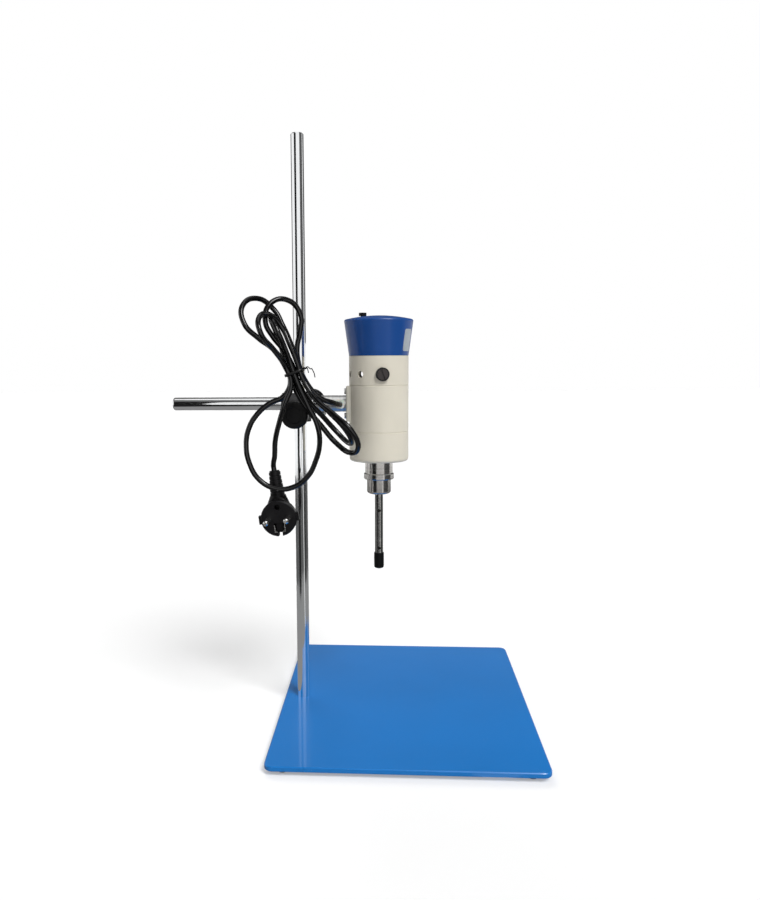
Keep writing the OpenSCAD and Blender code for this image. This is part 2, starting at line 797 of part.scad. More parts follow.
module end_bracket() {
  window_r = 3.2;
  window_at = (bracket_hub_r + core_r)/2;
  hole_r = shaft_r + shaft_clear;
  color("#caccce") at_tool() difference() {
    union() {
      rotate_extrude() polygon([[hole_r, bracket_z + bearing_w], [seat_r, bracket_z + bearing_w],
        [seat_r, bracket_z], [core_r, bracket_z], [core_r, bracket_z + bracket_t],
        [bracket_hub_r, bracket_z + bracket_t], [bracket_hub_r, bracket_z + bearing_w + bracket_roof],
        [hole_r, bracket_z + bearing_w + bracket_roof]]);
      for (s = [-1, 1]) translate([s*board_post_x, 0, bracket_z])
        cylinder(r = board_post_r, h = board_z - bracket_z);
    }
    for (s = [-1, 1]) translate([s*bolt_ring_r, 0, bracket_z - cut])
      cylinder(r = bolt_r + fit, h = bracket_t + 2*cut);
    for (a = [45:90:315]) rotate([0, 0, a]) translate([window_at, 0, bracket_z - cut])
      cylinder(r = window_r, h = bracket_t + 2*cut);
  }
}

module brush_holders() {
  start = commutator_r + holder_off;
  color("#1d1d1d") for (side = [0, 180]) at_brush(side) difference() {
    union() {
      rod_forward(holder_r, -start, wall_r - start);
      rod_forward(holder_ring_r - fit, -wall_r - gap, body_wall + holder_proud - gap);
      rod_forward(holder_r, -wall_r + cut, 2*cut);
    }
    rod_forward(holder_bore_r, -start + cut, wall_r);
    rod_forward(brush_cap_r + fit, -brush_cap_floor, body_wall + holder_proud + cut);
  }
}

module carbon_brushes() {
  color("#3a3a3c") for (side = [0, 180]) at_brush(side)
    translate([-brush_w/2, -commutator_r - fit - brush_len, -brush_h/2])
      cube([brush_w, brush_len, brush_h]);
}

module brush_springs() {
  start = commutator_r + 2*fit + brush_len;
  len = brush_cap_floor - fit - start - 2*spring_wire_r;
  steps = 10;
  helix = [for (k = [0:spring_turns*steps]) [spring_coil_r*cos(360*k/steps),
    -start - spring_wire_r - len*k/(spring_turns*steps), spring_coil_r*sin(360*k/steps)]];
  color("#c0c0c0") for (side = [0, 180]) at_brush(side) sweep(helix, spring_wire_r, spring_sides);
}

module brush_caps() {
  drive_w = 1.6;
  drive_d = 1.6;
  end = body_r + brush_cap_proud;
  color("#141414") for (side = [0, 180]) at_brush(side) difference() {
    rod_forward(brush_cap_r, -brush_cap_floor, end - brush_cap_floor);
    rotate([0, brush_slot_turn, 0]) translate([-brush_cap_r - cut, -end - cut, -drive_w/2])
      cube([2*(brush_cap_r + cut), cut + drive_d, drive_w]);
  }
}

module through_bolts() {
  top = bracket_z + bracket_t;
  color("#8d9093") at_tool() for (s = [-1, 1]) translate([s*bolt_ring_r, 0, 0]) {
    translate([0, 0, floor_t + post_floor]) cylinder(r = bolt_r, h = top - floor_t - post_floor);
    translate([0, 0, top]) cylinder(r = bolt_head_r, h = bolt_head_h);
  }
}

// ---- Armature ----

module motor_shaft() {
  color("#b5b5b2") at_tool() translate([0, 0, shaft_low]) cylinder(r = shaft_r, h = shaft_top - shaft_low);
}

module armature_core() {
  color("#6a6d70") at_tool() translate([0, 0, armature_z]) difference() {
    tube(armature_r, shaft_r + fit, armature_h);
    for (k = [0:armature_slots - 1]) rotate([0, 0, k*360/armature_slots]) {
      translate([slot_ring_r, 0, -cut]) cylinder(r = slot_r, h = armature_h + 2*cut);
      translate([slot_ring_r, -slot_mouth/2, -cut]) cube([2*slot_r + 3, slot_mouth, armature_h + 2*cut]);
    }
  }
}

// End turns at both ends of the core, joined by a bundle in each slot
module armature_windings() {
  turn_h = 6;
  outer = slot_ring_r + slot_r - 0.25;
  inner = shaft_r + 1.5;
  bundle_r = slot_r - 0.2;
  soft = 2;
  color("#a8572a") at_tool() {
    for (end = [0, 1]) translate([0, 0, armature_z + end*armature_h]) mirror([0, 0, 1 - end])
      rotate_extrude() polygon([[inner, 0], [outer, 0], [outer, turn_h - soft], [outer - soft, turn_h],
          [inner + soft, turn_h], [inner, turn_h - soft]]);
    for (k = [0:armature_slots - 1]) rotate([0, 0, k*360/armature_slots])
      translate([slot_ring_r, 0, armature_z - cut]) cylinder(r = bundle_r, h = armature_h + 2*cut);
  }
}

module commutator() {
  bars = armature_slots;
  groove_w = 0.5;
  groove_d = 0.8;
  color("#b87338") at_tool() translate([0, 0, port_z - commutator_h/2]) difference() {
    tube(commutator_r, shaft_r + fit, commutator_h);
    for (k = [0:bars - 1]) rotate([0, 0, (k + 0.5)*360/bars])
      translate([commutator_r - groove_d, -groove_w/2, -cut])
        cube([groove_d + cut, groove_w, commutator_h + 2*cut]);
  }
}

module cooling_fan() {
  r = fan_d/2;
  blade_t = 1.2;
  color("#2b2b2d") at_tool() translate([0, 0, fan_z]) difference() {
    union() {
      cylinder(r = fan_hub_r, h = fan_h);
      translate([0, 0, fan_h - fan_disc]) cylinder(r = r, h = fan_disc);
      intersection() {
        cylinder(r = r - blade_in, h = fan_h - fan_disc + weld);
        for (k = [0:fan_blades - 1]) rotate([0, 0, k*360/fan_blades])
          translate([fan_hub_r - weld, -blade_t/2, 0]) cube([r, blade_t, fan_h - fan_disc + weld]);
      }
    }
    translate([0, 0, -cut]) cylinder(r = shaft_r + fit, h = fan_h + 2*cut);
  }
}

module drive_dog() {
  color("#b5b5b2") at_tool() translate([0, 0, -dog_len]) difference() {
    cylinder(r = dog_r, h = dog_len);
    translate([0, 0, dog_len - dog_bore_h]) cylinder(r = shaft_r + fit, h = dog_bore_h + cut);
    translate([-dog_r - cut, -dog_slot_w/2, -cut]) cube([2*(dog_r + cut), dog_slot_w, dog_slot_h + cut]);
  }
}

// ---- Speed control ----

module speed_board() {
  hole_r = 1.4;
  heat_sink = [3, 16, 12];
  heat_sink_x = 8;
  capacitor_at = [-4, 11];
  capacitor_r = 5;
  capacitor_h = 10;
  choke = [14, 7, 9];
  choke_at = [-10, -14];
  color("#2f6b3d") at_tool() translate([0, 0, board_z]) {
    difference() {
      cylinder(r = board_r, h = board_t);
      for (s = [-1, 1]) translate([s*board_post_x, 0, -cut]) cylinder(r = hole_r, h = board_t + 2*cut);
    }
    translate([heat_sink_x, -heat_sink[1]/2, board_t]) cube(heat_sink);
    translate([capacitor_at[0], capacitor_at[1], board_t]) cylinder(r = capacitor_r, h = capacitor_h);
    translate([choke_at[0], choke_at[1], board_t]) cube(choke);
  }
}

module speed_pot() {
  color("#3c5f8c") at_tool() translate([knob_off_x, 0, 0]) difference() {
    union() {
      translate([0, 0, pot_seat_z - pot_h]) cylinder(r = pot_r, h = pot_h);
      translate([0, 0, pot_seat_z])
        cylinder(r = pot_bush_r, h = dome_z(-knob_off_x + pot_bush_r) - pot_seat_z);
    }
    translate([0, 0, pot_seat_z - pot_h + pot_floor]) cylinder(r = pot_shaft_r + fit, h = pot_h + dome_h);
  }
}

module pot_shaft() {
  start = pot_seat_z - pot_h + pot_floor + gap;
  color("#c9a24a") at_tool() translate([knob_off_x, 0, start])
    cylinder(r = pot_shaft_r, h = speed_knob_z + speed_knob_h/2 - start);
}

module speed_knob() {
  color("#141414") at_tool() translate([knob_off_x, 0, speed_knob_z]) difference() {
    cylinder(r = speed_knob_r, h = speed_knob_h);
    for (k = [0:knob_flutes - 1]) rotate([0, 0, k*360/knob_flutes])
      translate([speed_knob_r + flute_out, 0, -cut]) cylinder(r = flute_r, h = speed_knob_h + 2*cut);
    translate([0, 0, -cut]) cylinder(r = pot_shaft_r + fit, h = cut + speed_knob_h/2 + gap);
  }
}

// ---- Dispersing tool ----

module tool_hub() {
  color("#b5b5b2") at_tool() rotate_extrude() polygon(concat(
    [[tube_r + fit, hub_bottom], [hub_cone_r, hub_bottom]],
    [for (k = [1:5])
      [hub_cone_r + (hub_r - hub_cone_r)*sin(18*k), hub_bottom + hub_cone_h*(1 - cos(18*k))]],
    [[hub_r, hub_top], [hub_spigot_r, hub_top], [hub_spigot_r, seal_z - seal_groove],
    [hub_spigot_r - seal_groove, seal_z - seal_groove], [hub_spigot_r - seal_groove, seal_z],
    [hub_spigot_r, seal_z], [hub_spigot_r, hub_spigot_top], [hub_cavity_r, hub_spigot_top],
    [hub_cavity_r, hub_cavity_z],
    [tube_r + fit, tube_top + bush_h]]));
}

module hub_seal() {
  color("#1d1d1d") at_tool() translate([0, 0, seal_z - seal_groove/2]) rotate_extrude()
    translate([hub_spigot_r - seal_wire_r - seal_inset, 0]) circle(r = seal_wire_r, $fn = 24);
}

module stator_tube() {
  color("#c9cbcc") at_tool() difference() {
    translate([0, 0, tube_bottom]) tube(tube_r, tube_bore_r, tube_top - tube_bottom);
    for (z = [high_hole_z, low_hole_z]) translate([0, 0, z]) rod_forward(vent_hole_r, tube_d, 2*tube_d);
    for (k = [0:stator_slots/2 - 1]) rotate([0, 0, (k + 0.5)*360/stator_slots])
      translate([-tube_d, -slot_w/2, tube_bottom - cut]) cube([2*tube_d, slot_w, slot_h + cut]);
  }
}

module upper_bush() {
  color("#c98f3c") at_tool() translate([0, 0, tube_top]) tube(tube_r, tool_shaft_r + fit, bush_h);
}

module lower_bush() {
  color("#f0f0ec") at_tool() translate([0, 0, low_bush_z])
    tube(tube_bore_r - fit, tool_shaft_r + fit, bush_h);
}

module tool_shaft() {
  start = tube_bottom + rotor_lift + rotor_h - rotor_seat + gap;
  tang_z = -dog_len;
  color("#b5b5b2") at_tool() {
    translate([0, 0, start]) cylinder(r = tool_shaft_r, h = tang_z - start);
    translate([-tang_w/2, -tang_t/2, tang_z - 1]) cube([tang_w, tang_t, tang_h + 1]);
  }
}

module rotor_head() {
  tooth_h = 4.5;
  color("#b5b5b2") at_tool() translate([0, 0, tube_bottom + rotor_lift]) difference() {
    cylinder(r = rotor_r, h = rotor_h);
    translate([0, 0, -cut]) cylinder(r = rotor_bore_r, h = tooth_h + cut);
    translate([0, 0, rotor_h - rotor_seat]) cylinder(r = tool_shaft_r + fit, h = rotor_seat + cut);
    for (k = [0:rotor_teeth/2 - 1]) rotate([0, 0, k*360/rotor_teeth])
      translate([-tube_d, -rotor_slot_w/2, -cut]) cube([2*tube_d, rotor_slot_w, tooth_h + cut]);
  }
}

module tip_cap() {
  r_in = tube_r + fit;
  soft = 2.2;
  edge = 0.4;
  color("#1a1a1c") at_tool() translate([0, 0, tube_bottom - tip_cap_floor]) rotate_extrude() polygon(concat(
    [[0, 0]], arc([tip_r - soft, soft], soft, -90, 0, 6),
    [[tip_r, tip_cap_len - edge], [tip_r - edge, tip_cap_len], [r_in, tip_cap_len], [r_in, tip_cap_floor],
    [0, tip_cap_floor]]));
}

// ---- Mains lead ----

function unit(v) = v/norm(v);
function clamp_index(p, i) = p[max(0, min(len(p) - 1, i))];
function tangents(p) = [for (i = [0:len(p) - 1]) unit(clamp_index(p, i + 1) - clamp_index(p, i - 1))];

// Carries a cross direction along the route without twist
function carried(t, i, u) =
  i == len(t) ? [] : let (w = unit(u - (u*t[i])*t[i])) concat([w], carried(t, i + 1, w));

// Round bar of radius r along the points p
module sweep(p, r, sides) {
  t = tangents(p);
  u = carried(t, 0, abs(t[0][2]) < 0.9 ? [0, 0, 1] : [1, 0, 0]);
  n = len(p);
  rings = [for (i = [0:n - 1], k = [0:sides - 1])
    p[i] + r*(cos(360*k/sides)*u[i] + sin(360*k/sides)*cross(t[i], u[i]))];
  walls = [for (i = [0:n - 2], k = [0:sides - 1])
    [i*sides + k, (i + 1)*sides + k, (i + 1)*sides + (k + 1)%sides, i*sides + (k + 1)%sides]];
  start = [[for (k = [0:sides - 1]) k]];
  end = [[for (k = [sides - 1:-1:0]) (n - 1)*sides + k]];
  polyhedron(points = rings, faces = concat(start, walls, end));
}

function lane(col, row, along) = tie_at + lane_pitch*(col*side_v + row*back_v) + along*up_v;

// n points of a smooth passage from a, leaving along da, to b, arriving along db
function ease(a, da, b, db, n) = [for (i = [1:n]) let (t = i/(n + 1), s = norm(b - a))
  (2*pow(t, 3) - 3*pow(t, 2) + 1)*a + (pow(t, 3) - 2*pow(t, 2) + t)*s*da
  + (3*pow(t, 2) - 2*pow(t, 3))*b + (pow(t, 3) - pow(t, 2))*s*db];

// One loop of the hank: it leaves the tie in lane a, turns at reach and comes back in lane b.
// up is 1 above the tie and -1 below; lean swings it towards -X above, +X below; twist turns its
// plane about its own length, and set moves it towards +Y.
function hank_loop(up, lean, reach, r, twist, set, a, b, n) =
  let (
    d = up*[-sin(lean), 0, cos(lean)],
    across = cos(twist)*up*[cos(lean), 0, sin(lean)] + sin(twist)*back_v,
    c = tie_at + (reach - r)*d + set*back_v,
    from = lane(a[0], a[1], up*lane_end),
    to = lane(b[0], b[1], up*lane_end)
  ) concat([from], ease(from, up*up_v, c + r*across, d, n),
    [for (w = loop_arc) c + r*(cos(w)*across + sin(w)*d)], ease(c - r*across, -d, to, -up*up_v, n));

// Centre line of the lead from inside its grommet to inside the plug's strain relief
function plug_point(z) = plug_at + relief_y*back_v + z*plug_up;
cord_route = concat(
  [[grommet_x - pole_x, rod_y - sleeve_r + cut, 0], [grommet_x - pole_x, -40, 0], [38, -51, 2],
    [26, -58, 7], lane(right, back, -lane_end)],
  hank_loop(1, 12, 69, 18, 30, 4, [right, back], [middle, middle], 2),
  [lane(middle, middle, lane_end)],
  hank_loop(-1, 38, 84, 16, 70, 4, [middle, middle], [right, middle], 2),
  [lane(right, middle, -lane_end)],
  hank_loop(1, 32, 79, 18, 40, 0, [right, middle], [left, middle], 2),
  [[-3, -67, 32], [-1, -67, 23], [-3, -67, 15], [-9, -67, 8], [-20, -68, 3], [-32, -69, -7],
    [-40, -70, -20], [-43, -70, -36], [-40, -70, -54], [-31, -70, -69], [-16, -70, -77],
    [0, -70, -76], [14, -70, -66], [22, -70, -51], [26, -71, -34], [24, -72, -17], [16, -72, 0],
    lane(middle, front, -lane_end)],
  hank_loop(1, 24, 56, 16, -80, 4, [middle, front], [left, back], 1),
  [lane(left, back, lane_end)],
  hank_loop(-1, 38, 92, 16, 50, -12, [left, back], [right, front], 2),
  [lane(right, front, -lane_end)],
  hank_loop(1, 26, 59, 16, 60, -16, [right, front], [left, front], 1),
  [lane(left, front, lane_end), lane(left, front, -lane_end), [-5, -74, 4], [-11, -72, -14],
    [-16, -67, -32], [-18, -60, -48], plug_point(relief_z + relief_h + 6),
    plug_point(relief_z + relief_h - 3)]);

module at_crossing() {
  translate([pole_x, 0, rod_z]) children();
}

module supply_cord() {
  color("#171717") at_crossing() sweep(cord_route, cord_r, cord_sides);
}

module cord_tie() {
  w = 2*tie_half;
  wire_r = 0.6;
  color("#1c1c1c") at_crossing() translate(tie_at) rotate([0, -tie_lean, 0]) {
    translate([0, 0, -tie_w/2]) difference() {
      translate([-tie_half - tie_t, -tie_half - tie_t, 0]) cube([w + 2*tie_t, w + 2*tie_t, tie_w]);
      translate([-tie_half, -tie_half, -cut]) cube([w, w, tie_w + 2*cut]);
    }
    for (tail = [[62, tie_tail], [84, tie_tail - 3]])
      translate([tie_half, -tie_half - tie_t/2, 0]) rotate([0, tail[0], 0])
        cylinder(r = wire_r, h = tail[1]);
  }
}

// ---- Plug ----

module at_plug() {
  at_crossing() translate(plug_at) rotate([0, -plug_roll, 0]) children();
}

// Outline of the plug's face and rim, turned round +Y
module plug_face() {
  edge = 1;
  rotate([-90, 0, 0]) rotate_extrude() polygon([[0, 0], [plug_r - edge, 0], [plug_r, edge],
    [plug_r, plug_rim - edge], [plug_r - edge, plug_rim], [0, plug_rim]]);
}

// Disc along +Y that starts at y = from
module disc_back(r, from, len) {
  translate([0, from + len, 0]) rotate([90, 0, 0]) cylinder(r = r, h = len, $fn = 32);
}

// Recess of the earth contact, with a tongue in its middle and a notch through the rim below it
module plug_recess() {
  foot = -plug_r + recess_rim;
  difference() {
    translate([-recess_w/2, -cut, foot]) cube([recess_w, recess_depth + cut, recess_h - recess_rim]);
    translate([-tongue_w/2, tongue_in, foot + tongue_lift]) cube([tongue_w, recess_depth, recess_h]);
  }
  translate([-notch_w/2, -cut, -plug_r - cut]) cube([notch_w, recess_depth + cut, recess_rim + 2*cut]);
}

module plug_body() {
  edge = 1;
  color("#191919") at_plug() difference() {
    union() {
      plug_face();
      hull() {
        disc_back(plug_step_r, plug_rim - 2*edge, edge);
        disc_back(plug_back_r, plug_depth - edge, edge);
        translate([0, relief_y, relief_z - neck_h]) cylinder(r = neck_r, h = neck_h, $fn = 32);
      }
      for (s = [-1, 1]) translate([s*(plug_r + (lug_w - lug_in)/2), plug_rim/2, 0])
        cube([lug_w + lug_in, plug_rim - 3*edge, lug_h], center = true);
    }
    for (s = [-1, 1]) translate([s*pin_pitch/2, 0, 0]) rod_forward(pin_r + fit, pin_in, pin_in + cut);
    translate([0, 0, socket_z]) rod_forward(socket_r, socket_depth, socket_depth + cut);
    plug_recess();
    translate([0, relief_y, relief_z - lead_in]) cylinder(r = cord_r + lead_clear, h = lead_in + cut);
  }
}

module plug_pins() {
  tip = 1.2;
  color("#cfd2d4") at_plug() for (s = [-1, 1]) translate([s*pin_pitch/2, pin_in, 0]) rotate([90, 0, 0])
    rotate_extrude() polygon([[0, 0], [pin_r, 0], [pin_r, pin_in + pin_len - tip],
      [pin_r - tip, pin_in + pin_len], [0, pin_in + pin_len]]);
}

// Two sprung earth contacts along the sides of the recess, each with a foot turned inwards
module plug_earth_clips() {
  inset = 0.3;
  len = recess_depth - 1;
  color("#d2d4d6") at_plug() for (s = [0, 1]) mirror([s, 0, 0])
    translate([recess_w/2 - fit - clip_t, inset, -plug_r + recess_rim + fit]) union() {
      cube([clip_t, len, recess_h - recess_rim - 2]);
      translate([-clip_foot, 0, 0]) cube([clip_foot + clip_t, len, clip_t]);
    }
}

module plug_strain_relief() {
  step = relief_h/relief_ribs;
  groove = 1.2;
  groove_d = 0.7;
  edge = 0.4;
  color("#1b1b1b") at_plug() translate([0, relief_y, relief_z]) rotate_extrude() polygon(concat(
    [[cord_r + cord_clear, relief_h], [cord_r + cord_clear, 0]],
    [for (k = [0:relief_ribs - 1], j = [0:3]) let (
      z = k*step + [0, step - groove, step - groove, step][j],
      r = relief_r0 + (relief_r1 - relief_r0)*z/relief_h - (j > 1 ? groove_d : 0)) [r, z]],
    [[relief_r1 - edge, relief_h]]));
}

// ---- Assembly ----

base_plate();
rubber_feet();
pole();
boss_head();
pole_knob();
pole_screw();
rod_knob();
rod_screw();
cross_rod();
mount_sleeve();
sleeve_set_screw();
cord_grommet();
mount_pad();
pad_screws();
body_lower();
body_middle();
body_upper();
top_cap();
nose_sleeve();
nose_lock_ring();
stator_core();
field_coils();
lower_bearing();
upper_bearing();
end_bracket();
brush_holders();
carbon_brushes();
brush_springs();
brush_caps();
through_bolts();
motor_shaft();
armature_core();
armature_windings();
commutator();
cooling_fan();
drive_dog();
speed_board();
speed_pot();
pot_shaft();
speed_knob();
tool_hub();
hub_seal();
stator_tube();
upper_bush();
lower_bush();
tool_shaft();
rotor_head();
tip_cap();
supply_cord();
cord_tie();
plug_body();
plug_pins();
plug_earth_clips();
plug_strain_relief();
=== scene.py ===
"""Looks of a rotor stator homogenizer that hangs from a cross rod over its plate stand.

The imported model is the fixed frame. Its nodes are dressed here with procedural finishes, the mains
lead, its wire tie and the bare plate on the cap are modelled round them, and a plain studio lights
the whole. Lengths are in metres in the model's own frame: +Z up, and +X from the pole to the motor.
"""

import logging
import math
from abc import ABC, abstractmethod
from dataclasses import dataclass, field
from enum import Enum
from typing import ClassVar

import bmesh
import bpy
from mathutils import Matrix, Vector

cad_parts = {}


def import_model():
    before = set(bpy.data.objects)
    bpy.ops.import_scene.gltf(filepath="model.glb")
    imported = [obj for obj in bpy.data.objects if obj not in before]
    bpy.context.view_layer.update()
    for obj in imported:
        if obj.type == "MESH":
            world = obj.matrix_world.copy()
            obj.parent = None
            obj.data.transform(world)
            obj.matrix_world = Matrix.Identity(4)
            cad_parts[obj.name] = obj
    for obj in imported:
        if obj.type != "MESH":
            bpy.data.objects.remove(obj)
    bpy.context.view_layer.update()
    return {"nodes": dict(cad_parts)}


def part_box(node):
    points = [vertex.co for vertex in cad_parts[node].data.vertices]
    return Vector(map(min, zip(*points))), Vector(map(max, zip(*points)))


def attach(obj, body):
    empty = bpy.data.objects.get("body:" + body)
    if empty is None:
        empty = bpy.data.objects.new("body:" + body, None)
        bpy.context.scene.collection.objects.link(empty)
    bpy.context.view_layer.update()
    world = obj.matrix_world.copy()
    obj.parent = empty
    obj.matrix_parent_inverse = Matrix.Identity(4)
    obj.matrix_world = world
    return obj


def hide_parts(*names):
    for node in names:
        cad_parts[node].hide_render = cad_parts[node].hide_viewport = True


MM = 0.001

log = logging.getLogger("homogenizer")

Colour = tuple[float, float, float]
Socket = bpy.types.NodeSocket
Material = bpy.types.Material
Piece = bpy.types.Object
Outline = tuple[tuple[float, float], ...]

BACK = Vector((0, 1, 0))
WHITE = (1.0, 1.0, 1.0, 1.0)


# ---- Small helpers -------------------------------------------------------------------------------


def paint(red: int, green: int, blue: int) -> Colour:
    """Returns a colour of the 0 to 255 scale in linear light."""
    shares = (red / 255, green / 255, blue / 255)
    return tuple(s / 12.92 if s <= 0.04045 else ((s + 0.055) / 1.055) ** 2.4 for s in shares)


def toned(tint: Colour, share: float, lift: float = 0.0) -> Colour:
    """Returns a colour made darker or lighter by a share, then lifted, and held at white."""
    return tuple(min(1.0, c * share + lift) for c in tint)


def centre_of(node: str) -> Vector:
    """Returns the middle of a frame node's box."""
    low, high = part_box(node)
    return (low + high) / 2


def link_piece(name: str, data: bpy.types.ID, finish: Material) -> Piece:
    """Puts a new piece in the scene and gives it its finish.

    Args:
        name: Name of the piece.
        data: Its mesh or curve.
        finish: Its material.

    Returns:
        The new object.
    """
    data.materials.append(finish)
    piece = bpy.data.objects.new(name, data)
    bpy.context.scene.collection.objects.link(piece)
    return piece


def mesh_piece(name: str, form: bmesh.types.BMesh, finish: Material, smooth: bool = True) -> Piece:
    """Turns a finished bmesh into a piece.

    Args:
        name: Name of the piece.
        form: The shape, which is freed.
        finish: Its material.
        smooth: Whether its faces are shaded smooth.

    Returns:
        The new object.
    """
    bmesh.ops.recalc_face_normals(form, faces=form.faces[:])
    for face in form.faces:
        face.smooth = smooth
    mesh = bpy.data.meshes.new(name)
    form.to_mesh(mesh)
    form.free()
    return link_piece(name, mesh, finish)


def sweep(form: bmesh.types.BMesh, path: list[Vector], section: list[tuple[float, float]],
          side: Vector, closed: bool = False) -> None:
    """Sweeps a closed section along a path.

    Args:
        form: The bmesh that takes the faces.
        path: Points of the centre line.
        section: Points of the section, along side and across it.
        side: Direction that the section's first axis keeps as nearly as it can.
        closed: Whether the path runs back into its start.
    """
    count = len(path)
    rings = []
    for i, point in enumerate(path):
        before = path[i - 1] if closed or i else point
        after = path[(i + 1) % count] if closed or i < count - 1 else point
        along = (after - before).normalized()
        first = (side - along * side.dot(along)).normalized()
        second = along.cross(first)
        rings.append([form.verts.new(point + first * a + second * b) for a, b in section])
    span = len(section)
    for i in range(count if closed else count - 1):
        low, high = rings[i], rings[(i + 1) % count]
        for k in range(span):
            form.faces.new((low[k], low[(k + 1) % span], high[(k + 1) % span], high[k]))
    if not closed:
        form.faces.new(rings[0])
        form.faces.new(rings[-1])


def oval(half_a: float, half_b: float, sides: int) -> list[tuple[float, float]]:
    """Returns the points of an oval section with these half widths."""
    turns = [2 * math.pi * k / sides for k in range(sides)]
    return [(half_a * math.cos(t), half_b * math.sin(t)) for t in turns]


def leaning_up(lean: float) -> Vector:
    """Returns the upward direction that leans this many degrees towards -X."""
    return Vector((-math.sin(math.radians(lean)), 0, math.cos(math.radians(lean))))


def leaning_side(lean: float) -> Vector:
    """Returns the direction towards +X that is square to leaning_up."""
    return Vector((math.cos(math.radians(lean)), 0, math.sin(math.radians(lean))))


# ---- Node recipes --------------------------------------------------------------------------------


def seen_or_mirrored(tree: bpy.types.NodeTree) -> Socket:
    """Tells what is seen or mirrored from what only lights.

    Args:
        tree: The node tree that takes the nodes.

    Returns:
        1 for camera, glossy and transmission rays, 0 for the rest.
    """
    rays = tree.nodes.new("ShaderNodeLightPath")
    total = rays.outputs["Is Camera Ray"]
    for kind in ("Is Glossy Ray", "Is Transmission Ray"):
        node = tree.nodes.new("ShaderNodeMath")
        node.operation = "MAXIMUM"
        tree.links.new(total, node.inputs[0])
        tree.links.new(rays.outputs[kind], node.inputs[1])
        total = node.outputs[0]
    return total


class Direction(Enum):
    """Axis along which a grain or a turning mark is laid out."""

    X = 0
    Y = 1
    Z = 2


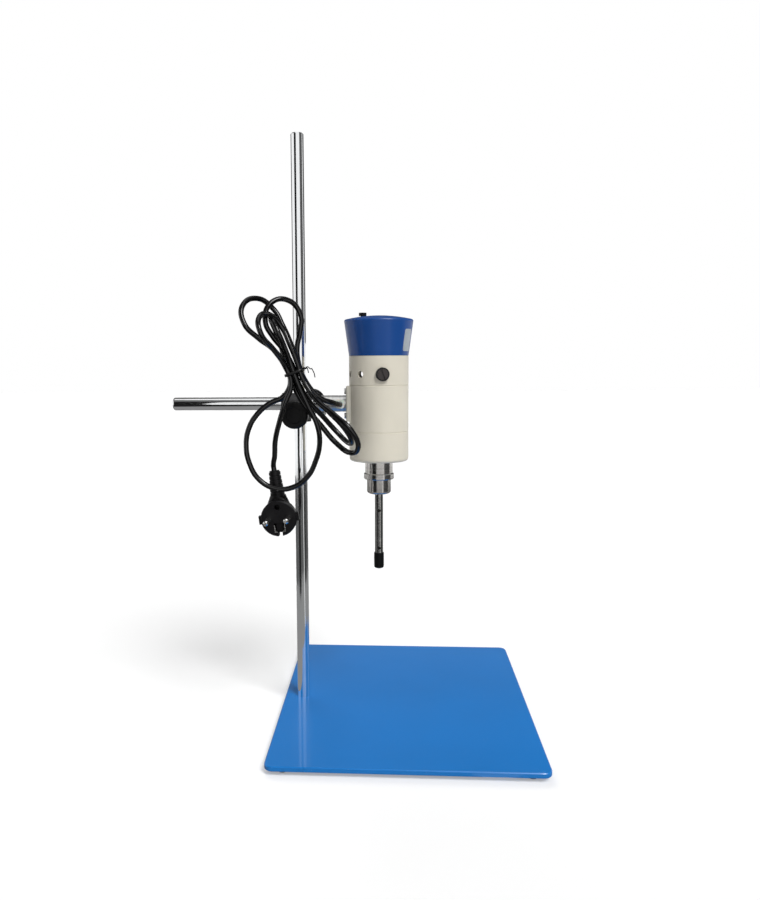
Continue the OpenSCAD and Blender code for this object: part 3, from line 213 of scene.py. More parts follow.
class Recipe:
    """One node material in the making, with its texture space in metres on the piece itself.

    Attributes:
        PATCHES: Range in which most of a noise pattern lies.
        EDGE_COSINE: Cosine between rounded and plain normals on an edge and on a flat face.
        EDGE_SAMPLES: Rays that look for an edge.
    """

    PATCHES = (0.3, 0.7)
    EDGE_COSINE = (0.86, 0.99)
    EDGE_SAMPLES = 6

    def __init__(self, name: str, tint: Colour, roughness: float, metallic: float = 0.0) -> None:
        """Starts a material.

        Args:
            name: Name of the material.
            tint: Base colour in linear light.
            roughness: Roughness, which stands where no varying one is fed.
            metallic: 1 for bare metal, 0 for anything else.
        """
        self.material = bpy.data.materials.new(name)
        self.material.use_nodes = True
        self.material.diffuse_color = (*tint, 1.0)
        self.nodes = self.material.node_tree.nodes
        self.links = self.material.node_tree.links
        self.shader = self.nodes["Principled BSDF"]
        self.tint = tint
        self.keep("Base Color", (*tint, 1.0))
        self.keep("Roughness", roughness)
        self.keep("Metallic", metallic)
        self.place = self.nodes.new("ShaderNodeTexCoord").outputs["Object"]

    def keep(self, socket: str, value: float | tuple[float, ...]) -> None:
        """Sets a constant on one of the shader's own sockets."""
        self.shader.inputs[socket].default_value = value

    def feed(self, socket: str, source: Socket) -> None:
        """Links a varying value to one of the shader's sockets."""
        self.links.new(source, self.shader.inputs[socket])

    def noise(self, scale: float, detail: float = 3.0, rough: float = 0.5,
              place: Socket | None = None) -> Socket:
        """Adds a noise pattern.

        Args:
            scale: Cells for each metre.
            detail: Number of finer layers.
            rough: Share of the finer layers.
            place: Texture space, or the plain one.

        Returns:
            A value from about 0 to 1.
        """
        node = self.nodes.new("ShaderNodeTexNoise")
        node.inputs["Scale"].default_value = scale
        node.inputs["Detail"].default_value = detail
        node.inputs["Roughness"].default_value = rough
        self.links.new(place or self.place, node.inputs["Vector"])
        return node.outputs[0]

    def grain(self, across: float, along: float, axis: Direction, detail: float,
              rough: float = 0.5) -> Socket:
        """Adds a noise pattern that is drawn out, as grain and turning marks are.

        Args:
            across: Cells for each metre on the two other axes.
            along: Cells for each metre on the given axis.
            axis: The axis that has its own scale.
            detail: Number of finer layers.
            rough: Share of the finer layers.

        Returns:
            A value from about 0 to 1.
        """
        node = self.nodes.new("ShaderNodeMapping")
        scale = [across, across, across]
        scale[axis.value] = along
        node.inputs["Scale"].default_value = scale
        self.links.new(self.place, node.inputs["Vector"])
        return self.noise(1.0, detail, rough, node.outputs["Vector"])

    def specks(self, scale: float, share: float) -> Socket:
        """Adds scattered round specks.

        Args:
            scale: Cells for each metre.
            share: Size of a speck within its cell.

        Returns:
            1 in the middle of a speck, 0 outside.
        """
        node = self.nodes.new("ShaderNodeTexVoronoi")
        node.inputs["Scale"].default_value = scale
        self.links.new(self.place, node.inputs["Vector"])
        return self.span(node.outputs["Distance"], 0.0, share, 1.0, 0.0)

    def span(self, value: Socket, from_low: float, from_high: float, low: float,
             high: float) -> Socket:
        """Maps a value from one range to another, held at both ends.

        Args:
            value: The value to map.
            from_low: Start of its range.
            from_high: End of its range.
            low: Result at the start.
            high: Result at the end.

        Returns:
            The mapped value.
        """
        node = self.nodes.new("ShaderNodeMapRange")
        for name, number in (("From Min", from_low), ("From Max", from_high), ("To Min", low),
                             ("To Max", high)):
            node.inputs[name].default_value = number
        self.links.new(value, node.inputs["Value"])
        return node.outputs["Result"]

    def patches(self, pattern: Socket, low: float, high: float) -> Socket:
        """Maps the middle of a noise pattern to the range from low to high."""
        return self.span(pattern, *self.PATCHES, low, high)

    def combine(self, operation: str, first: Socket, second: Socket | float) -> Socket:
        """Joins two values by arithmetic.

        Args:
            operation: Blender's name of the operation.
            first: First value.
            second: Second value, which may be a plain number.

        Returns:
            The result.
        """
        node = self.nodes.new("ShaderNodeMath")
        node.operation = operation
        self.links.new(first, node.inputs[0])
        if isinstance(second, (int, float)):
            node.inputs[1].default_value = second
        else:
            self.links.new(second, node.inputs[1])
        return node.outputs[0]

    def shade(self, factor: Socket, low: Colour, high: Colour) -> Socket:
        """Blends two colours.

        Args:
            factor: Share of the second colour, from 0 to 1.
            low: First colour.
            high: Second colour.

        Returns:
            The blended colour.
        """
        node = self.nodes.new("ShaderNodeMix")
        node.data_type = "RGBA"
        node.inputs["A"].default_value = (*low, 1.0)
        node.inputs["B"].default_value = (*high, 1.0)
        self.links.new(factor, node.inputs["Factor"])
        return node.outputs["Result"]

    def over(self, factor: Socket, below: Socket, above: Colour) -> Socket:
        """Lays a plain colour over a varying one.

        Args:
            factor: How far the plain colour covers, from 0 to 1.
            below: The varying colour.
            above: The plain colour.

        Returns:
            The covered colour.
        """
        node = self.nodes.new("ShaderNodeMix")
        node.data_type = "RGBA"
        node.inputs["B"].default_value = (*above, 1.0)
        self.links.new(factor, node.inputs["Factor"])
        self.links.new(below, node.inputs["A"])
        return node.outputs["Result"]

    def drift(self, scale: float, amount: float) -> Socket:
        """Varies the base colour by this share, in this many patches for each metre."""
        return self.shade(self.patches(self.noise(scale), 0.0, 1.0),
                          toned(self.tint, 1 - amount), toned(self.tint, 1 + amount))

    def edges(self, radius: float) -> Socket:
        """Finds sharp edges.

        Args:
            radius: Width of the band along an edge.

        Returns:
            1 on an edge, 0 on a flat or gently curved face.
        """
        bevel = self.nodes.new("ShaderNodeBevel")
        bevel.samples = self.EDGE_SAMPLES
        bevel.inputs["Radius"].default_value = radius
        plain = self.nodes.new("ShaderNodeNewGeometry")
        dot = self.nodes.new("ShaderNodeVectorMath")
        dot.operation = "DOT_PRODUCT"
        self.links.new(bevel.outputs["Normal"], dot.inputs[0])
        self.links.new(plain.outputs["Normal"], dot.inputs[1])
        return self.span(dot.outputs["Value"], *self.EDGE_COSINE, 1.0, 0.0)

    def relief(self, *layers: tuple[Socket, float]) -> None:
        """Lays bumps over the surface.

        Args:
            layers: Pairs of a height from 0 to 1 and its depth in metres.
        """
        normal = None
        for height, depth in layers:
            node = self.nodes.new("ShaderNodeBump")
            node.inputs["Distance"].default_value = depth
            self.links.new(height, node.inputs["Height"])
            if normal is not None:
                self.links.new(normal, node.inputs["Normal"])
            normal = node.outputs["Normal"]
        self.feed("Normal", normal)


# ---- Finishes ------------------------------------------------------------------------------------


@dataclass(frozen=True)
class Finish(ABC):
    """A surface finish of the instrument: it makes one node material."""

    name: str
    tint: Colour

    @abstractmethod
    def material(self) -> Material:
        """Makes the finish's material."""


@dataclass(frozen=True)
class Enamel(Finish):
    """Stoved gloss enamel with a fine orange peel and lighter, thinner paint on the edges."""

    peel_scale: float = 420.0
    peel_depth: float = 0.004 * MM
    wave_scale: float = 12.0
    wave_depth: float = 0.03 * MM
    edge_width: float = 0.9 * MM
    dust: Colour = (0.8, 0.82, 0.85)
    dust_share: float = 0.16

    def material(self) -> Material:
        """Makes the material.

        Returns:
            The new material.
        """
        recipe = Recipe(self.name, self.tint, 0.3)
        worn = recipe.combine("MULTIPLY", recipe.edges(self.edge_width),
                              recipe.span(recipe.noise(160.0, detail=4.0), 0.5, 0.66, 0.0, 0.5))
        specks = recipe.combine("MULTIPLY", recipe.specks(240.0, 0.09), self.dust_share)
        dusted = recipe.over(specks, recipe.drift(7.0, 0.05), self.dust)
        recipe.feed("Base Color", recipe.over(worn, dusted, toned(self.tint, 1.15, 0.01)))
        recipe.feed("Roughness", recipe.span(recipe.noise(22.0, detail=1.0), 0.1, 0.9, 0.28, 0.34))
        recipe.keep("Coat Weight", 0.45)
        recipe.keep("Coat Roughness", 0.03)
        recipe.keep("Specular IOR Level", 0.3)
        recipe.relief((recipe.noise(self.peel_scale, detail=2.0), self.peel_depth),
                      (recipe.noise(self.wave_scale, detail=0.0), self.wave_depth))
        return recipe.material


@dataclass(frozen=True)
class Moulded(Finish):
    """Injection moulded plastic with a fine spark texture."""

    gloss: float = 0.42
    grain_scale: float = 2600.0
    grain_depth: float = 0.03 * MM
    drift: float = 0.03
    coat: float = 0.0
    shine: float = 0.5
    edge_width: float = 0.5 * MM
    sink_scale: float = 60.0
    sink_depth: float = 0.06 * MM

    def material(self) -> Material:
        """Makes the material.

        Returns:
            The new material.
        """
        recipe = Recipe(self.name, self.tint, self.gloss)
        # Edges lightened in the base colour: part rubbed wear, part painted sheen along the edges.
        rubbed_and_sheen = toned(self.tint, 1.12, 0.012)
        worn = recipe.combine("MULTIPLY", recipe.edges(self.edge_width),
                              recipe.span(recipe.noise(300.0, detail=4.0), 0.4, 0.65, 0.0, 0.6))
        recipe.feed("Base Color", recipe.over(worn, recipe.drift(24.0, self.drift), rubbed_and_sheen))
        recipe.feed("Roughness", recipe.span(recipe.noise(70.0, detail=5.0, rough=0.65), 0.3, 0.72,
                                             self.gloss - 0.05, self.gloss + 0.07))
        recipe.keep("Coat Weight", self.coat)
        recipe.keep("Coat Roughness", 0.1)
        recipe.keep("Specular IOR Level", self.shine)
        recipe.relief((recipe.noise(self.grain_scale, detail=2.0), self.grain_depth),
                      (recipe.noise(self.sink_scale, detail=2.0), self.sink_depth))
        return recipe.material


@dataclass(frozen=True)
class Chromed(Finish):
    """Polished chrome on a ground bar: faint grinding rings, smears and a few pits."""

    axis: Direction = Direction.Z
    smear_roughness: tuple[float, float] = (0.045, 0.15)
    pit_roughness: float = 0.25
    ring_depth: float = 0.0003 * MM
    wave_depth: float = 0.008 * MM

    def material(self) -> Material:
        """Makes the material.

        Returns:
            The new material.
        """
        recipe = Recipe(self.name, self.tint, 0.08, 1.0)
        smears = recipe.grain(260.0, 22.0, self.axis, detail=5.0, rough=0.6)
        rings = recipe.grain(14.0, 5200.0, self.axis, detail=2.0)
        recipe.feed("Roughness", recipe.combine(
            "ADD", recipe.span(smears, 0.35, 0.75, *self.smear_roughness), recipe.combine(
                "MULTIPLY", recipe.specks(420.0, 0.06), self.pit_roughness)))
        recipe.feed("Base Color", recipe.drift(40.0, 0.03))
        recipe.relief((rings, self.ring_depth), (recipe.noise(20.0, detail=0.0), self.wave_depth))
        return recipe.material


@dataclass(frozen=True)
class Turned(Finish):
    """Lathe turned steel: rings round the axis, with darker and lighter cuts."""

    axis: Direction = Direction.Z
    rough: float = 0.24
    ring_depth: float = 0.012 * MM
    wave_depth: float = 0.004 * MM

    def material(self) -> Material:
        """Makes the material.

        Returns:
            The new material.
        """
        recipe = Recipe(self.name, self.tint, self.rough, 1.0)
        rings = recipe.grain(30.0, 3600.0, self.axis, detail=4.0, rough=0.7)
        bands = recipe.grain(6.0, 420.0, self.axis, detail=2.0)
        recipe.feed("Base Color", recipe.shade(recipe.patches(bands, 0.0, 1.0),
                                               toned(self.tint, 0.86), toned(self.tint, 1.08)))
        recipe.feed("Roughness", recipe.patches(rings, self.rough - 0.06, self.rough + 0.07))
        recipe.relief((rings, self.ring_depth), (recipe.noise(90.0, detail=0.0), self.wave_depth))
        return recipe.material


@dataclass(frozen=True)
class Plated(Finish):
    """Bright or zinc plated small hardware with a slightly cloudy skin."""

    rough: float = 0.34
    cloud_depth: float = 0.012 * MM

    def material(self) -> Material:
        """Makes the material.

        Returns:
            The new material.
        """
        recipe = Recipe(self.name, self.tint, self.rough, 1.0)
        recipe.feed("Base Color", recipe.drift(420.0, 0.1))
        recipe.feed("Roughness", recipe.patches(recipe.noise(900.0, detail=4.0),
                                                self.rough - 0.05, self.rough + 0.08))
        recipe.relief((recipe.noise(1800.0, detail=3.0), self.cloud_depth))
        return recipe.material


@dataclass(frozen=True)
class CastCoat(Finish):
    """Black stoved coat on a sand casting: an uneven skin that shows metal on its edges."""

    metal: Colour = (0.42, 0.43, 0.45)
    edge_width: float = 0.6 * MM
    sand_depth: float = 0.12 * MM
    skin_depth: float = 0.05 * MM

    def material(self) -> Material:
        """Makes the material.

        Returns:
            The new material.
        """
        recipe = Recipe(self.name, self.tint, 0.46)
        chips = recipe.combine("MULTIPLY", recipe.edges(self.edge_width),
                               recipe.span(recipe.noise(420.0, detail=5.0, rough=0.7),
                                           0.55, 0.62, 0.0, 1.0))
        recipe.feed("Base Color", recipe.over(chips, recipe.drift(90.0, 0.12), self.metal))
        recipe.feed("Metallic", recipe.combine("MULTIPLY", chips, 0.9))
        recipe.feed("Roughness", recipe.patches(recipe.noise(260.0, detail=5.0), 0.36, 0.56))
        recipe.relief((recipe.noise(340.0, detail=3.0, rough=0.6), self.sand_depth),
                      (recipe.noise(1500.0, detail=3.0), self.skin_depth))
        return recipe.material


@dataclass(frozen=True)
class Sheath(Finish):
    """Soft black cable sheath with a waxy shine and fine drawing marks."""

    mark_depth: float = 0.001 * MM
    wave_depth: float = 0.04 * MM

    def material(self) -> Material:
        """Makes the material.

        Returns:
            The new material.
        """
        recipe = Recipe(self.name, self.tint, 0.12)
        recipe.feed("Base Color", recipe.drift(120.0, 0.25))
        recipe.feed("Roughness", recipe.span(recipe.noise(90.0, detail=2.0), 0.2, 0.8, 0.08, 0.15))
        recipe.keep("Specular IOR Level", 0.5)
        recipe.relief((recipe.noise(1200.0, detail=1.0), self.mark_depth),
                      (recipe.noise(90.0, detail=0.0), self.wave_depth))
        return recipe.material


@dataclass(frozen=True)
class Rubber(Finish):
    """Matt elastomer, a little dusty."""

    rough: float = 0.72
    dust: float = 0.35
    dust_share: float = 0.3
    grain_depth: float = 0.05 * MM

    def material(self) -> Material:
        """Makes the material.

        Returns:
            The new material.
        """
        recipe = Recipe(self.name, self.tint, self.rough)
        dust = recipe.span(recipe.noise(130.0, detail=5.0, rough=0.7), 0.48, 0.8, 0.0, 0.35)
        dusty = tuple((1 - self.dust_share) * c + self.dust_share * self.dust for c in self.tint)
        recipe.feed("Base Color", recipe.over(dust, recipe.drift(60.0, 0.08), dusty))
        recipe.feed("Roughness", recipe.patches(recipe.noise(500.0, detail=3.0),
                                                self.rough - 0.08, self.rough + 0.08))
        recipe.relief((recipe.noise(1300.0, detail=3.0), self.grain_depth))
        return recipe.material


@dataclass(frozen=True)
class SoftVinyl(Finish):
    """Translucent white vinyl of the lead's grommet."""

    light_depth: float = 2 * MM
    grain_depth: float = 0.03 * MM

    def material(self) -> Material:
        """Makes the material.

        Returns:
            The new material.
        """
        recipe = Recipe(self.name, self.tint, 0.36)
        recipe.feed("Base Color", recipe.drift(300.0, 0.03))
        recipe.keep("Subsurface Weight", 0.25)
        recipe.keep("Subsurface Scale", self.light_depth)
        recipe.feed("Roughness", recipe.patches(recipe.noise(800.0), 0.3, 0.44))
        recipe.relief((recipe.noise(900.0, detail=2.0), self.grain_depth))
        return recipe.material


@dataclass(frozen=True)
class Laminated(Finish):
    """Stack of thin stamped sheets, seen as fine lines across the axis."""

    pitch: float = 0.5 * MM
    step_depth: float = 0.1 * MM
    wander: float = 0.6

    def material(self) -> Material:
        """Makes the material.

        Returns:
            The new material.
        """
        recipe = Recipe(self.name, self.tint, 0.45, 1.0)
        wave = recipe.nodes.new("ShaderNodeTexWave")
        wave.bands_direction = "Z"
        # Its bands repeat every pi / 10 of the scaled space: a light and a dark sheet.
        wave.inputs["Scale"].default_value = 1 / (self.pitch * 20 / math.pi)
        wave.inputs["Distortion"].default_value = self.wander
        recipe.links.new(recipe.place, wave.inputs["Vector"])
        stack = wave.outputs["Fac"]
        recipe.feed("Base Color", recipe.shade(recipe.span(stack, 0.1, 0.5, 0.0, 1.0),
                                               toned(self.tint, 0.35), self.tint))
        recipe.feed("Roughness", recipe.patches(recipe.noise(400.0, detail=4.0), 0.36, 0.58))
        recipe.relief((stack, self.step_depth))
        return recipe.material


@dataclass(frozen=True)
class Wound(Finish):
    """Enamelled copper wire, laid turn on turn."""

    wire: float = 0.45 * MM
    turn_depth: float = 0.2 * MM

    def material(self) -> Material:
        """Makes the material.

        Returns:
            The new material.
        """
        recipe = Recipe(self.name, self.tint, 0.3, 0.9)
        strands = recipe.grain(0.5 / self.wire, 60.0, Direction.Z, detail=1.0, rough=0.3)
        recipe.feed("Base Color", recipe.shade(recipe.span(strands, 0.35, 0.62, 0.0, 1.0),
                                               toned(self.tint, 0.4), self.tint))
        recipe.keep("Coat Weight", 0.6)
        recipe.keep("Coat Roughness", 0.15)
        recipe.relief((strands, self.turn_depth))
        return recipe.material


@dataclass(frozen=True)
class CircuitBoard(Finish):
    """Green solder mask with pale traces."""

    trace_scale: float = 160.0
    trace_width: float = 0.03
    trace_depth: float = 0.03 * MM

    def material(self) -> Material:
        """Makes the material.

        Returns:
            The new material.
        """
        recipe = Recipe(self.name, self.tint, 0.35)
        traces = recipe.nodes.new("ShaderNodeTexBrick")
        traces.inputs["Scale"].default_value = self.trace_scale
        traces.inputs["Mortar Size"].default_value = self.trace_width
        for socket, tint in (("Color1", self.tint), ("Color2", toned(self.tint, 0.9)),
                             ("Mortar", toned(self.tint, 1.7, 0.02))):
            traces.inputs[socket].default_value = (*tint, 1.0)
        recipe.links.new(recipe.place, traces.inputs["Vector"])
        recipe.feed("Base Color", traces.outputs["Color"])
        recipe.feed("Roughness", recipe.patches(recipe.noise(600.0), 0.28, 0.44))
        recipe.relief((traces.outputs["Fac"], self.trace_depth))
        return recipe.material


@dataclass(frozen=True)
class FoilPlate(Finish):
    """Bare silver foil plate with a fine brushed grain."""

    grain_depth: float = 0.006 * MM

    def material(self) -> Material:
        """Makes the material.

        Returns:
            The new material.
        """
        recipe = Recipe(self.name, self.tint, 0.4, 0.35)
        grain = recipe.grain(300.0, 9000.0, Direction.Z, detail=3.0, rough=0.6)
        recipe.feed("Base Color", recipe.drift(300.0, 0.05))
        recipe.feed("Roughness", recipe.patches(grain, 0.3, 0.5))
        recipe.relief((grain, self.grain_depth))
        return recipe.material


class Finishes:
    """The instrument's finishes, each made once and then shared."""

    LIST = (
        Enamel("blue_enamel", paint(10, 119, 200)),
        Moulded("blue_cap", paint(12, 72, 146), gloss=0.36, grain_depth=0.01 * MM, coat=0.1,
               shine=0.35),
        Moulded("cream_shell", paint(226, 220, 204), gloss=0.4, shine=0.4),
        Moulded("pad_cream", paint(218, 214, 200), gloss=0.46, grain_depth=0.06 * MM),
        Rubber("rubber_foot", paint(38, 38, 39)),
        Chromed("chrome_pole", (0.86, 0.87, 0.88)),
        Chromed("chrome_rod", (0.86, 0.87, 0.88), axis=Direction.X),
        CastCoat("boss_casting", paint(24, 24, 26)),
        Turned("turned_steel", (0.62, 0.6, 0.575), rough=0.19, ring_depth=0.0008 * MM),
        # Steel darkened as painted shade: through the tube's holes the tool shaft reads as the
        # shaded inside of the tube.
        Turned("painted_shade_steel", (0.09, 0.088, 0.085), rough=0.14, ring_depth=0.0004 * MM),
        Turned("turned_sleeve", (0.66, 0.66, 0.65), axis=Direction.X, rough=0.34),
        Turned("drawn_tube", (0.72, 0.715, 0.7), rough=0.12, ring_depth=0.0004 * MM),
        Turned("screw_thread", (0.5, 0.5, 0.49), axis=Direction.Y, rough=0.34, ring_depth=0.1 * MM),
        Plated("zinc_screw", (0.5, 0.5, 0.49)),
        Moulded("knob_black", paint(15, 15, 16), gloss=0.44, grain_depth=0.07 * MM, drift=0.12,
                shine=0.2),
        SoftVinyl("grommet_white", paint(240, 238, 230)),
        Laminated("lamination", (0.3, 0.31, 0.33)),
        Wound("copper", (0.62, 0.24, 0.09)),
        Plated("bracket_alloy", (0.68, 0.69, 0.7), rough=0.38),
        Rubber("carbon", paint(52, 52, 55), rough=0.55),
        Moulded("black_moulding", paint(15, 15, 15), gloss=0.38, grain_depth=0.04 * MM, drift=0.15,
                shine=0.35),
        Moulded("brown_bakelite", paint(44, 36, 34), gloss=0.34, grain_depth=0.02 * MM, drift=0.2),
        Moulded("tip_black", paint(8, 8, 8), gloss=0.5, grain_depth=0.08 * MM, drift=0.2,
                shine=0.15),
        CircuitBoard("board_green", paint(38, 104, 58)),
        Plated("brass_part", (0.72, 0.5, 0.2), rough=0.33),
        Moulded("bush_white", paint(236, 236, 230), gloss=0.45),
        Sheath("cord_black", paint(9, 9, 10)),
        Moulded("plug_black", paint(14, 13, 15), gloss=0.4, grain_depth=0.05 * MM, drift=0.12,
                shine=0.2),
        Plated("pin_nickel", (0.78, 0.77, 0.75), rough=0.18),
        FoilPlate("plate_foil", paint(176, 184, 192)),
    )

    def __init__(self) -> None:
        """Starts with nothing made."""
        self.kinds = {kind.name: kind for kind in self.LIST}
        self.made: dict[str, Material] = {}

    def get(self, name: str) -> Material:
        """Finds a material, which is made on its first use.

        Args:
            name: Name of its finish.

        Returns:
            The material.
        """
        if name not in self.made:
            self.made[name] = self.kinds[name].material()
        return self.made[name]


# ---- Sub-assemblies ------------------------------------------------------------------------------


@dataclass
class Assembly:
    """A sub-assembly: it dresses its frame nodes and adds its own modelled pieces.

    Attributes:
        finishes: The instrument's finishes.
        nodes: The frame's nodes by name.
        looks: Name of the finish of each of its frame nodes.
    """

    finishes: Finishes
    nodes: dict[str, Piece]
    looks: ClassVar[dict[str, str]] = {}

    def dress(self) -> None:
        """Gives each frame node the finish that looks names, and reports it."""
        for node, finish in self.looks.items():
            mesh = self.nodes[node].data
            mesh.materials.clear()
            mesh.materials.append(self.finishes.get(finish))
            log.info("%s: %s dressed in %s", type(self).__name__, node, finish)

    def pieces(self) -> list[Piece]:
        """Makes the modelled pieces of this sub-assembly, which many do without."""
        return []

    def build(self) -> None:
        """Dresses the nodes, makes the pieces and reports them."""
        self.dress()
        for piece in self.pieces():
            log.info("%s: %s made", type(self).__name__, piece.name)


@dataclass
class Stand(Assembly):
    """Base plate, its feet and the pole."""

    looks = {"base_plate": "blue_enamel", "rubber_feet": "rubber_foot", "pole": "chrome_pole"}


@dataclass
class BossHead(Assembly):
    """Boss head with its two clamp screws, and the cross rod."""

    looks = {"boss_head": "boss_casting", "pole_knob": "knob_black", "rod_knob": "knob_black",
             "pole_screw": "screw_thread", "rod_screw": "screw_thread", "cross_rod": "chrome_rod"}


@dataclass
class MotorMount(Assembly):
    """Sleeve, pad, screws and grommet between the cross rod and the motor."""

    looks = {"mount_sleeve": "turned_sleeve", "sleeve_set_screw": "zinc_screw",
             "cord_grommet": "grommet_white", "mount_pad": "pad_cream", "pad_screws": "zinc_screw"}


@dataclass
class MotorHousing(Assembly):
    """Shells, cap and nose of the motor, with the bare plate on the cap.

    Attributes:
        plate_wide: Width of the plate.
        plate_high: Height of the plate.
        plate_corner: Radius of its corners.
        plate_thick: Its thickness.
        plate_lift: Gap under it, filled by its glue.
        plate_turn: Azimuth of its middle, from the front towards the right, in degrees.
        plate_middle: Height of its middle over the cap's foot.
        plate_rows: Rows of faces up its height.
        plate_columns: Columns of faces across it.
        flare: How far the cap's rim stands out over its foot.
        above_flare: Height of the cap's rim and dome over its flared side.
    """

    plate_wide: float = 13.4 * MM
    plate_high: float = 21.0 * MM
    plate_corner: float = 2.0 * MM
    plate_thick: float = 0.25 * MM
    plate_lift: float = 0.05 * MM
    plate_turn: float = 64.0
    plate_middle: float = 14.5 * MM
    plate_rows: int = 14
    plate_columns: int = 12
    flare: float = 4.5 * MM
    above_flare: float = 5.4 * MM
    looks = {"body_lower": "cream_shell", "body_middle": "cream_shell",
             "body_upper": "cream_shell", "top_cap": "blue_cap", "nose_sleeve": "turned_steel",
             "nose_lock_ring": "zinc_screw", "brush_holders": "black_moulding",
             "brush_caps": "brown_bakelite"}

    def pieces(self) -> list[Piece]:
        """Makes the bare plate."""
        return [self.bare_plate()]

    def bare_plate(self) -> Piece:
        """Makes the bare foil plate that follows the cap's flared side.

        Returns:
            The plate.
        """
        low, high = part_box("top_cap")
        axis = centre_of("top_cap")
        foot_r = (high.x - low.x) / 2 - self.flare
        slope = self.flare / (high.z - low.z - self.above_flare)
        form = bmesh.new()
        rows, columns = self.plate_rows, self.plate_columns
        grid = []
        half_high = self.plate_high / 2
        middle_turn = math.radians(self.plate_turn - 90)
        for i in range(rows + 1):
            rise = -half_high * math.cos(math.pi * i / rows)
            into_corner = max(0.0, abs(rise) - (half_high - self.plate_corner))
            half_wide = (self.plate_wide / 2 - self.plate_corner
                         + math.sqrt(max(0.0, self.plate_corner ** 2 - into_corner ** 2)))
            height = self.plate_middle + rise
            radius = foot_r + slope * height + self.plate_lift
            row = []
            for k in range(columns + 1):
                turn = middle_turn + half_wide * (2 * k / columns - 1) / radius
                row.append(form.verts.new((axis.x + radius * math.cos(turn),
                                           axis.y + radius * math.sin(turn), low.z + height)))
            grid.append(row)
        for i in range(rows):
            for k in range(columns):
                form.faces.new((grid[i][k], grid[i][k + 1], grid[i + 1][k + 1], grid[i + 1][k]))
        piece = mesh_piece("cap_foil_plate", form, self.finishes.get("plate_foil"))
        thickness = piece.modifiers.new("thickness", "SOLIDIFY")
        thickness.thickness = self.plate_thick
        thickness.offset = 1.0
        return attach(piece, "motor")


@dataclass
class MotorWorks(Assembly):
    """Field, armature, bearings and brushes inside the housing."""

    looks = {"stator_core": "lamination", "field_coils": "copper", "armature_core": "lamination",
             "armature_windings": "copper", "commutator": "brass_part",
             "lower_bearing": "turned_steel", "upper_bearing": "turned_steel",
             "end_bracket": "bracket_alloy", "carbon_brushes": "carbon",
             "brush_springs": "zinc_screw", "through_bolts": "zinc_screw",
             "motor_shaft": "turned_steel", "cooling_fan": "black_moulding",
             "drive_dog": "turned_steel"}


@dataclass
class SpeedControl(Assembly):
    """Circuit board, potentiometer and knob in the cap."""

    looks = {"speed_board": "board_green", "speed_pot": "black_moulding",
             "pot_shaft": "black_moulding", "speed_knob": "knob_black"}


@dataclass
class DispersingTool(Assembly):
    """The slim rotor stator tool with its hub and tip cap."""

    # The tool shaft's dark finish is painted shade, seen through the holes of the stator tube.
    looks = {"tool_hub": "turned_steel", "hub_seal": "rubber_foot", "stator_tube": "drawn_tube",
             "upper_bush": "brass_part", "lower_bush": "bush_white", "tool_shaft": "painted_shade_steel",
             "rotor_head": "turned_steel", "tip_cap": "tip_black"}


# ---- Mains lead ----------------------------------------------------------------------------------


@dataclass(frozen=True)
class HankLoop:
    """One loop of the hank, which leaves the tie in one lane and comes back in another.

    Attributes:
        up: 1 above the tie, -1 below it.
        lean: Swing of the loop in degrees, towards -X above and +X below.
        reach: How far the loop runs from the tie.
        radius: Radius of its round end.
        twist: Turn of its plane about its own length, in degrees.
        back: Shift towards +Y.
        start: Column and row of the lane that it leaves by.
        end: Column and row of the lane that it comes back by.
        eased: Points in each passage between the tie and the round end.
    """

    up: int
    lean: float
    reach: float
    radius: float
    twist: float
    back: float
    start: tuple[int, int]
    end: tuple[int, int]
    eased: int


